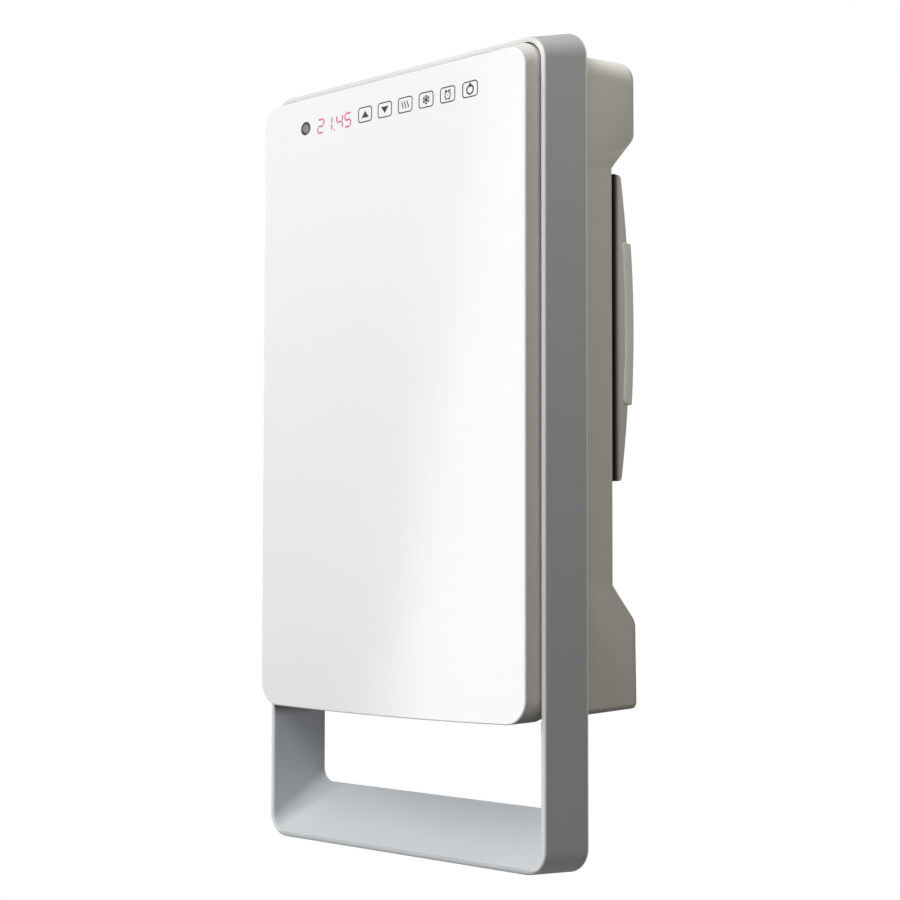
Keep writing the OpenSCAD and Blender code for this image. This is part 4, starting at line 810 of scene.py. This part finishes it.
# The body less its room; then rim, pocket walls, posts, ears and rails are added, and pockets and holes are cut.
def makeHousingShell(v):
    w, recess, bottom, cable = v["wall"], v["recess"], v["bottom"], v["cableX"]
    posts = [(s * v["postX"], z) for s in (-1, 1) for z in v["postZ"]]
    shell = outlineBody("housingShell", v["hw"], *housingSides(v))
    full, side = housingSides(v, ahead=v["roomAhead"])
    carve(shell, [outlineBody("housingRoom", v["hw"] - w, drawnIn(full, w), drawnIn(side, w * v["roomShare"]))])
    carve(shell, [joined("rim", [rimPart(v)])], "UNION")
    add = [boxPart((-v["hookHw"] - w, v["hookHw"] + w), (v["hookY"] - w, v["skinY"]),
                   (-v["hookHz"] - w, v["hookHz"] + w)),
           boxPart((cable[0] - w, cable[1] + w), (v["cableY"] - w, v["skinY"]),
                   (bottom + v["cableFoot"], v["cableZ"] + v["cableUp"] + w))]
    add += [rodPart("y", x, z, v["postR"], v["postY"], recess - v["bite"]) for x, z in posts]
    add += [rodPart("y", s * v["earX"], v["earZ"], v["earR"], v["earY"], recess - v["earBite"], 28)
            for s in (-1, 1)]
    carve(shell, [joined("bosses", add)], "UNION")
    for part in railParts(v):
        carve(shell, [joined("lip", [part])], "UNION")
    cut = [boxPart((-v["hookHw"], v["hookHw"]), (v["hookY"], 3 * past), (-v["hookHz"], v["hookHz"])),
           boxPart(cable, (v["cableY"], 3 * past), (bottom - 3 * past, v["cableZ"] + v["cableUp"])),
           boxPart((-v["outletHw"], v["outletHw"]), v["outletY"], (bottom - past, bottom + v["outletUp"])),
           boxPart((-v["inletHw"], v["inletHw"]), [recess + y for y in v["inletY"]], v["inletZ"])]
    carve(shell, [joined("pockets", cut)])
    deep = v["pocketHole"]
    cut = [rodPart("y", sum(cable) / 2, v["cableZ"], v["cableHoleR"], v["cableY"] - deep, v["cableY"] + past, 48)]
    cut += [boxPart((s * v["slotX"] - v["slotHw"], s * v["slotX"] + v["slotHw"]),
                    (v["hookY"] - deep, v["hookY"] + past), v["slotZ"]) for s in (-1, 1)]
    cut += [rodPart("y", x, z, v["postBore"], v["postY"] + v["postFloor"], recess + past, 32) for x, z in posts]
    cut += [rodPart("y", s * v["earX"], v["earZ"], v["earHole"], v["earY"] - past, recess - v["earHoleEnd"], 20)
            for s in (-1, 1)]
    x, reach = v["screwX"], v["screwReach"]
    cut += [rodPart("x", v["screwY"], z, v["screwHole"], s * x - reach, s * x + reach, 24)
            for s in (-1, 1) for z in v["screwZ"]]
    carve(shell, [joined("holes", cut)])
    cut = [rodPart("y", x, z, v["postHole"], v["postY"] - past, v["postY"] + v["postFloor"] + past, 24)
           for x, z in posts]
    return carve(shell, [joined("smallHoles", cut)])


housingShell = makeHousingShell(housing)
housingShell.data.materials.append(housingGrey)
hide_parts("rear_housing")
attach(housingShell, "heater")
print("rear housing made")

# Filter cassette and grip.
tray = dict(hw=141.2, front=-35.5, bowR=625.0, bowY=-15.0, z=-186.16, h=241.0, wall=2.4, endR=3.5, edge=0.9,
            roomLeft=5.0, roomAhead=1.5, roomR=1.6, roomEdge=0.4, lipX=(0.2, 1.1), lipY=(0.02, 2.0),
            lipZ=(112.9, 119.5), slotH=6.0, slotStep=15.0, slots=13, slotX=((-127.2, -36.0), (-28.0, 50.0)),
            slotY=(-34.0, -10.0))


# The bowed side outline: a straight front, two rounded ends and an arc of radius R about (bowY - R, z).
def bowOutline(v, bowR, front, halfH, endR, n=48):
    cy = v["bowY"] - v["bowR"]
    lean = np.arcsin((halfH - endR) / (bowR - endR))
    arc = np.linspace(-lean, lean, n)
    back = np.stack([cy + bowR * np.cos(arc), v["z"] + bowR * np.sin(arc)], -1)
    end = np.linspace(lean, np.pi / 2, 7)[1:]
    ey, ez = cy + (bowR - endR) * np.cos(lean), v["z"] + halfH - endR
    top = np.stack([ey + endR * np.cos(end), ez + endR * np.sin(end)], -1)
    low = np.stack([top[:, 0], 2 * v["z"] - top[:, 1]], -1)[::-1]
    return np.concatenate([[(front, v["z"] - halfH)], low, back, top, [(front, v["z"] + halfH)]])


# The outline carried along x, its two ends drawn in as quarter circles of the edge's radius.
def bowBody(name, v, x0, x1, bowR, front, halfH, endR, edge):
    rows = []
    a = np.linspace(0, np.pi / 2, 5)
    for x, i in [(x0 + edge * (1 - np.sin(t)), edge * (1 - np.cos(t))) for t in a[::-1]] + \
                [(x1 - edge * (1 - np.sin(t)), edge * (1 - np.cos(t))) for t in a]:
        loop = bowOutline(v, bowR - i, front + i, halfH - i, max(endR - i, 0.3))
        rows.append(np.insert(loop, 0, x, axis=1))
    return newPiece(name, np.concatenate(rows), ringFaces(len(rows), len(rows[0]), capStart=True, capEnd=True))


# The bowed body less its room, which is open at the front and the left end, with a lip along each long edge and
# rows of slots.
def makeTray(v):
    w, half = v["wall"], v["h"] / 2
    shell = bowBody("cassetteShell", v, -v["hw"], v["hw"], v["bowR"], v["front"], half, v["endR"], v["edge"])
    room = bowBody("trayRoom", v, -v["hw"] - v["roomLeft"], v["hw"] - w, v["bowR"] - w, v["front"] - v["roomAhead"],
                   half - w, v["roomR"], v["roomEdge"])
    carve(shell, [room])
    lips = []
    for s in (-1, 1):
        x, y = (-v["hw"] + v["lipX"][0], v["hw"] - v["lipX"][1]), [v["front"] + back for back in v["lipY"]]
        lips.append(boxPart(x, y, sorted(v["z"] + s * h for h in v["lipZ"])))
    carve(shell, [joined("trayLips", lips)], "UNION")
    slots = []
    for i in range(v["slots"]):
        z = v["z"] + (i - (v["slots"] - 1) / 2) * v["slotStep"]
        for x in v["slotX"]:
            # a slot with half-round ends, through the bowed back
            r, t = v["slotH"] / 2, np.linspace(-np.pi / 2, np.pi / 2, 9)
            ends = np.concatenate([np.stack([x[1] - r + r * np.cos(t), z + r * np.sin(t)], -1),
                                   np.stack([x[0] + r - r * np.cos(t), z - r * np.sin(t)], -1)])
            slots.append((np.concatenate([onPlane(ends, y) for y in v["slotY"]]),
                          ringFaces(2, len(ends), capStart=True, capEnd=True)))
    return carve(shell, [joined("traySlots", slots)])


cassetteShell = makeTray(tray)
cassetteShell.data.materials.append(trayGrey)
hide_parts("filter_cassette")
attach(cassetteShell, "filter")

grip = dict(x0=69.2, x1=142.05, z0=-246.16, z1=-118.16, t=5.4, edge=1.8, corner=2.6, lift=0.06, hook=7.0, hookR=4.5,
            hookEdge=0.3, hookRows=(-1.0, -4.0), endX=141.25, endRow=-3.0, endIn=0.4, leftIn=4.0, ridges=9,
            ridge=0.5, ridgeEnd=14.0, ridgeFade=4.0)


# A closed section of (x, height over the bow) points: the pad, rounded over its two ends, with a hook that reaches
# over the cassette's end. It is carried up along the bow, shrinks as a quarter circle at both ends, its outer
# face sinks between the ridges as a cosine, and the hook's corners are round.
def makeGrip(v, trayValues):
    bow, cy = trayValues["bowR"], trayValues["bowY"] - trayValues["bowR"]
    e, c, t = v["edge"], v["corner"], v["t"]
    a = np.linspace(0, np.pi / 2, 7)
    left = np.stack([v["x0"] + e * (1 - np.cos(a)), t - e * (1 - np.sin(a))], -1)
    across = np.linspace(v["x0"] + e, v["x1"] - c, 14)[1:-1]
    face = np.stack([across, np.full(len(across), t)], -1)
    right = np.stack([v["x1"] - c * (1 - np.sin(a)), t - c * (1 - np.cos(a))], -1)
    hook = [(v["x1"], h) for h in v["hookRows"]]
    hook += [(v["x1"], v["hookEdge"] - v["hook"]), (v["x1"] - v["hookEdge"], -v["hook"]), (v["endX"], -v["hook"]),
             (v["endX"], v["endRow"]), (v["endX"], v["lift"])]
    section = np.concatenate([[(v["x0"], v["lift"])], left, face, right, hook])
    soft = e * (1 - np.cos(a[::-1]))
    along = np.linspace(v["z0"] + e, v["z1"] - e, 145)[1:-1]
    z = np.concatenate([v["z0"] + e * (1 - np.sin(a[::-1])), along, v["z1"] - e * (1 - np.sin(a))])
    shrink = np.concatenate([soft, np.zeros(len(along)), soft[::-1]])
    turn = (z - v["z0"]) / (v["z1"] - v["z0"]) * 2 * np.pi * v["ridges"]
    dip = 0.5 * v["ridge"] * (1 - np.cos(turn)) * (shrink == 0)
    inner = np.clip((v["x1"] - v["ridgeEnd"] - section[:, 0]) / v["ridgeFade"], 0, 1)
    x = section[None, :, 0] + np.where(section[:, 0] < v["x0"] + v["leftIn"], 1, 0)[None] * shrink[:, None]
    x = np.where(section[None, :, 0] > v["endX"], np.minimum(x, v["x1"] - v["endIn"] * shrink[:, None]), x)
    high = np.clip(section[:, 1] / t, 0, 1)[None]
    h = section[None, :, 1] - high * (shrink[:, None] + dip[:, None] * inner[None])
    near = np.clip(1 - np.minimum(z - v["z0"], v["z1"] - z) / v["hookR"], 0, 1)
    reach = v["hook"] - v["hookR"] * (1 - np.sqrt(1 - near ** 2))
    h = np.where(h < 0, h * (reach / v["hook"])[:, None], h)
    y = cy + np.sqrt((bow + h) ** 2 - (z[:, None] - trayValues["z"]) ** 2)
    points = np.stack([x, y, np.repeat(z[:, None], len(section), 1)], -1)
    faces = ringFaces(len(z), len(section), capStart=True, capEnd=True)
    return newPiece("gripPad", points.reshape(-1, 3), faces, sharp=50)


gripPad = makeGrip(grip, tray)
gripPad.data.materials.append(gripGrey)
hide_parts("filter_grip")
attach(gripPad, "filter")
print("cassette and grip made")

# Symbols and digits.
keys = dict(x=(-23.0, -1.2, 20.8, 42.9, 65.2, 87.8), z=-12.4, w=15.6, h=12.6, r=2.5, line=0.95, y=-147.06,
            back=-146.9,
            arrow=dict(hw=4.1, base=2.6, tip=2.8),
            wave=dict(x=(-2.9, 0, 2.9), swing=0.65, hz=2.9, line=0.95),
            flake=dict(arm=3.6, line=1.0, fork=2.2, barb=1.5, bend=50, barbLine=0.75),
            clock=dict(z=-0.5, rx=2.75, rz=2.95, dash=(5, 40), line=1.15, dot=0.5, bellX=1.75, bellZ=2.6,
                       bell=(1.35, 1.15), tilt=32, foot=((1.7, -3.1), (2.5, -4.2)), footLine=0.8),
            power=dict(z=-0.35, rx=3.2, rz=3.3, line=1.3, stem=(1.4, 4.9), stemLine=1.4))


# A flat figure drawn on the panel: an outline of (x, z) points made a thin plate.
def plate(outline, y, back):
    p = np.asarray(outline, float)
    return np.concatenate([onPlane(p, y), onPlane(p, back)]), ringFaces(2, len(p), capStart=True, capEnd=True)


# A line of one width along points, open or closed: each point moves out both ways along its mitre.
def drawnLine(points, width, y, back, closed=False):
    p = np.asarray(points, float)
    nxt, prv = np.roll(p, -1, 0), np.roll(p, 1, 0)
    if not closed:
        nxt[-1], prv[0] = 2 * p[-1] - p[-2], 2 * p[0] - p[1]
    u, w = p - prv, nxt - p
    u /= np.linalg.norm(u, axis=1)[:, None]
    w /= np.linalg.norm(w, axis=1)[:, None]
    m = np.stack([-(u[:, 1] + w[:, 1]), u[:, 0] + w[:, 0]], -1)
    m /= np.maximum((m * np.stack([-u[:, 1], u[:, 0]], -1)).sum(1), 0.2)[:, None]
    left, right = p + m * width / 2, p - m * width / 2
    if closed:
        rings = [onPlane(left, y), onPlane(right, y), onPlane(right, back), onPlane(left, back)]
        return np.concatenate(rings), ringFaces(4, len(p), wrap=True)
    return plate(np.concatenate([left, right[::-1]]), y, back)


# Points of an ellipse about (cx, cz), from one angle in degrees to another.
def arcPoints(cx, cz, rx, rz, a0, a1, n):
    t = np.radians(np.linspace(a0, a1, n))
    return np.stack([cx + rx * np.cos(t), cz + rz * np.sin(t)], -1)


# A star of three bars, each with two barbs at both of its ends, about (x, z).
def flakeParts(v, x, z, y, back):
    parts = []
    for a in (90, 30, 150):
        arm = np.array([math.cos(math.radians(a)), math.sin(math.radians(a))])
        middle = np.array([x, z])
        parts.append(drawnLine([middle - v["arm"] * arm, middle + v["arm"] * arm], v["line"], y, back))
        for side in (-1, 1):
            tip = middle + side * v["fork"] * arm
            for bend in (-v["bend"], v["bend"]):
                b = math.radians(a + bend + (0 if side > 0 else 180))
                barb = v["barb"] * np.array([math.cos(b), math.sin(b)])
                parts.append(drawnLine([tip, tip + barb], v["barbLine"], y, back))
    return parts


# A ring of eight short arcs with a dot in it, two tilted half discs above and two feet below.
def clockParts(v, x, z, y, back):
    middle, (start, end) = z + v["z"], v["dash"]
    parts = [drawnLine(arcPoints(x, middle, v["rx"], v["rz"], a + start, a + end, 8), v["line"], y, back)
             for a in range(0, 360, 45)]
    parts.append(plate(arcPoints(x, middle, v["dot"], v["dot"], 0, 345, 20), y, back))
    for side in (-1, 1):
        bell = arcPoints(0, 0, *v["bell"], 0, 180, 14)
        turn = math.radians(-side * v["tilt"])
        rot = np.array([[math.cos(turn), -math.sin(turn)], [math.sin(turn), math.cos(turn)]])
        parts.append(plate(bell @ rot.T + (x + side * v["bellX"], z + v["bellZ"]), y, back))
        foot = [(x + side * fx, z + fz) for fx, fz in v["foot"]]
        parts.append(drawnLine(foot, v["footLine"], y, back))
    return parts


# Each key has a rounded frame; inside are two triangles, three sine waves, the star, the clock, and a ring with a
# stem.
def makeSymbols(v):
    y, back, z, line = v["y"], v["back"], v["z"], v["line"]
    parts = []
    for x in v["x"]:
        loop = roundLoop(v["w"] / 2 - line / 2, v["h"] / 2 - line / 2, -v["h"] / 2 + line / 2, v["r"], v["r"], 8)
        parts.append(drawnLine(loop + (x, z), line, y, back, closed=True))
    up, down, heat, cold, clock, power = v["x"]
    hw, base, tip = (v["arrow"][k] for k in ("hw", "base", "tip"))
    parts.append(plate([(up - hw, z - base), (up + hw, z - base), (up, z + tip)], y, back))
    parts.append(plate([(down - hw, z + base), (down, z - tip), (down + hw, z + base)], y, back))
    w, s = v["wave"], np.linspace(0, 1, 19)
    for dx in w["x"]:
        wave = np.stack([heat + dx + w["swing"] * np.sin(s * 2 * np.pi), z + w["hz"] * (2 * s - 1)], -1)
        parts.append(drawnLine(wave, w["line"], y, back))
    parts += flakeParts(v["flake"], cold, z, y, back) + clockParts(v["clock"], clock, z, y, back)
    r = v["power"]
    parts.append(drawnLine(arcPoints(power, z + r["z"], r["rx"], r["rz"], 0, 352.5, 48), r["line"], y, back,
                           closed=True))
    parts.append(drawnLine([(power, z + h) for h in r["stem"]], r["stemLine"], y, back))
    return joined("keySymbols", parts)


keySymbols = makeSymbols(keys)
keySymbols.data.materials.append(symbolInk)
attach(keySymbols, "heater")

digits = dict(show="2145", x=(-73.6, -64.1, -51.9, -42.4), z=-13.4, w=6.6, h=11.0, line=1.5, gap=0.3, lean=0.05,
              y=-147.05, back=-146.9, dotX=-58.0, dotR=0.75)


# One segment of a digit: a bar with pointed ends from a to b.
def segment(a, b, line, gap):
    a, b = np.asarray(a, float), np.asarray(b, float)
    u = (b - a) / np.linalg.norm(b - a)
    n = np.array([-u[1], u[0]]) * line / 2
    a, b = a + u * gap, b - u * gap
    k = u * line / 2
    return [a, a + k - n, b - k - n, b, b - k + n, a + k + n]


# Seven bars for each digit, those that it shows, leaning by x = lean * z, and a dot.
def makeDigits(v):
    on = {"1": "bc", "2": "abged", "4": "fgbc", "5": "afgcd"}
    hx, hz = v["w"] / 2, v["h"] / 2
    ends = dict(a=((-hx, hz), (hx, hz)), b=((hx, hz), (hx, 0)), c=((hx, 0), (hx, -hz)), d=((-hx, -hz), (hx, -hz)),
                e=((-hx, 0), (-hx, -hz)), f=((-hx, hz), (-hx, 0)), g=((-hx, 0), (hx, 0)))
    parts = []
    for x, figure in zip(v["x"], v["show"]):
        for name in on[figure]:
            p = np.array(segment(*ends[name], v["line"], v["gap"]))
            p[:, 0] += x + v["lean"] * p[:, 1]
            p[:, 1] += v["z"]
            parts.append(plate(p, v["y"], v["back"]))
    dot = arcPoints(v["dotX"], v["z"] - hz, v["dotR"], v["dotR"], 0, 340, 18)
    parts.append(plate(dot, v["y"], v["back"]))
    return joined("displayDigits", parts)


displayDigits = makeDigits(digits)
displayDigits.data.materials.append(digitRed)
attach(displayDigits, "heater")
print("symbols and digits made")
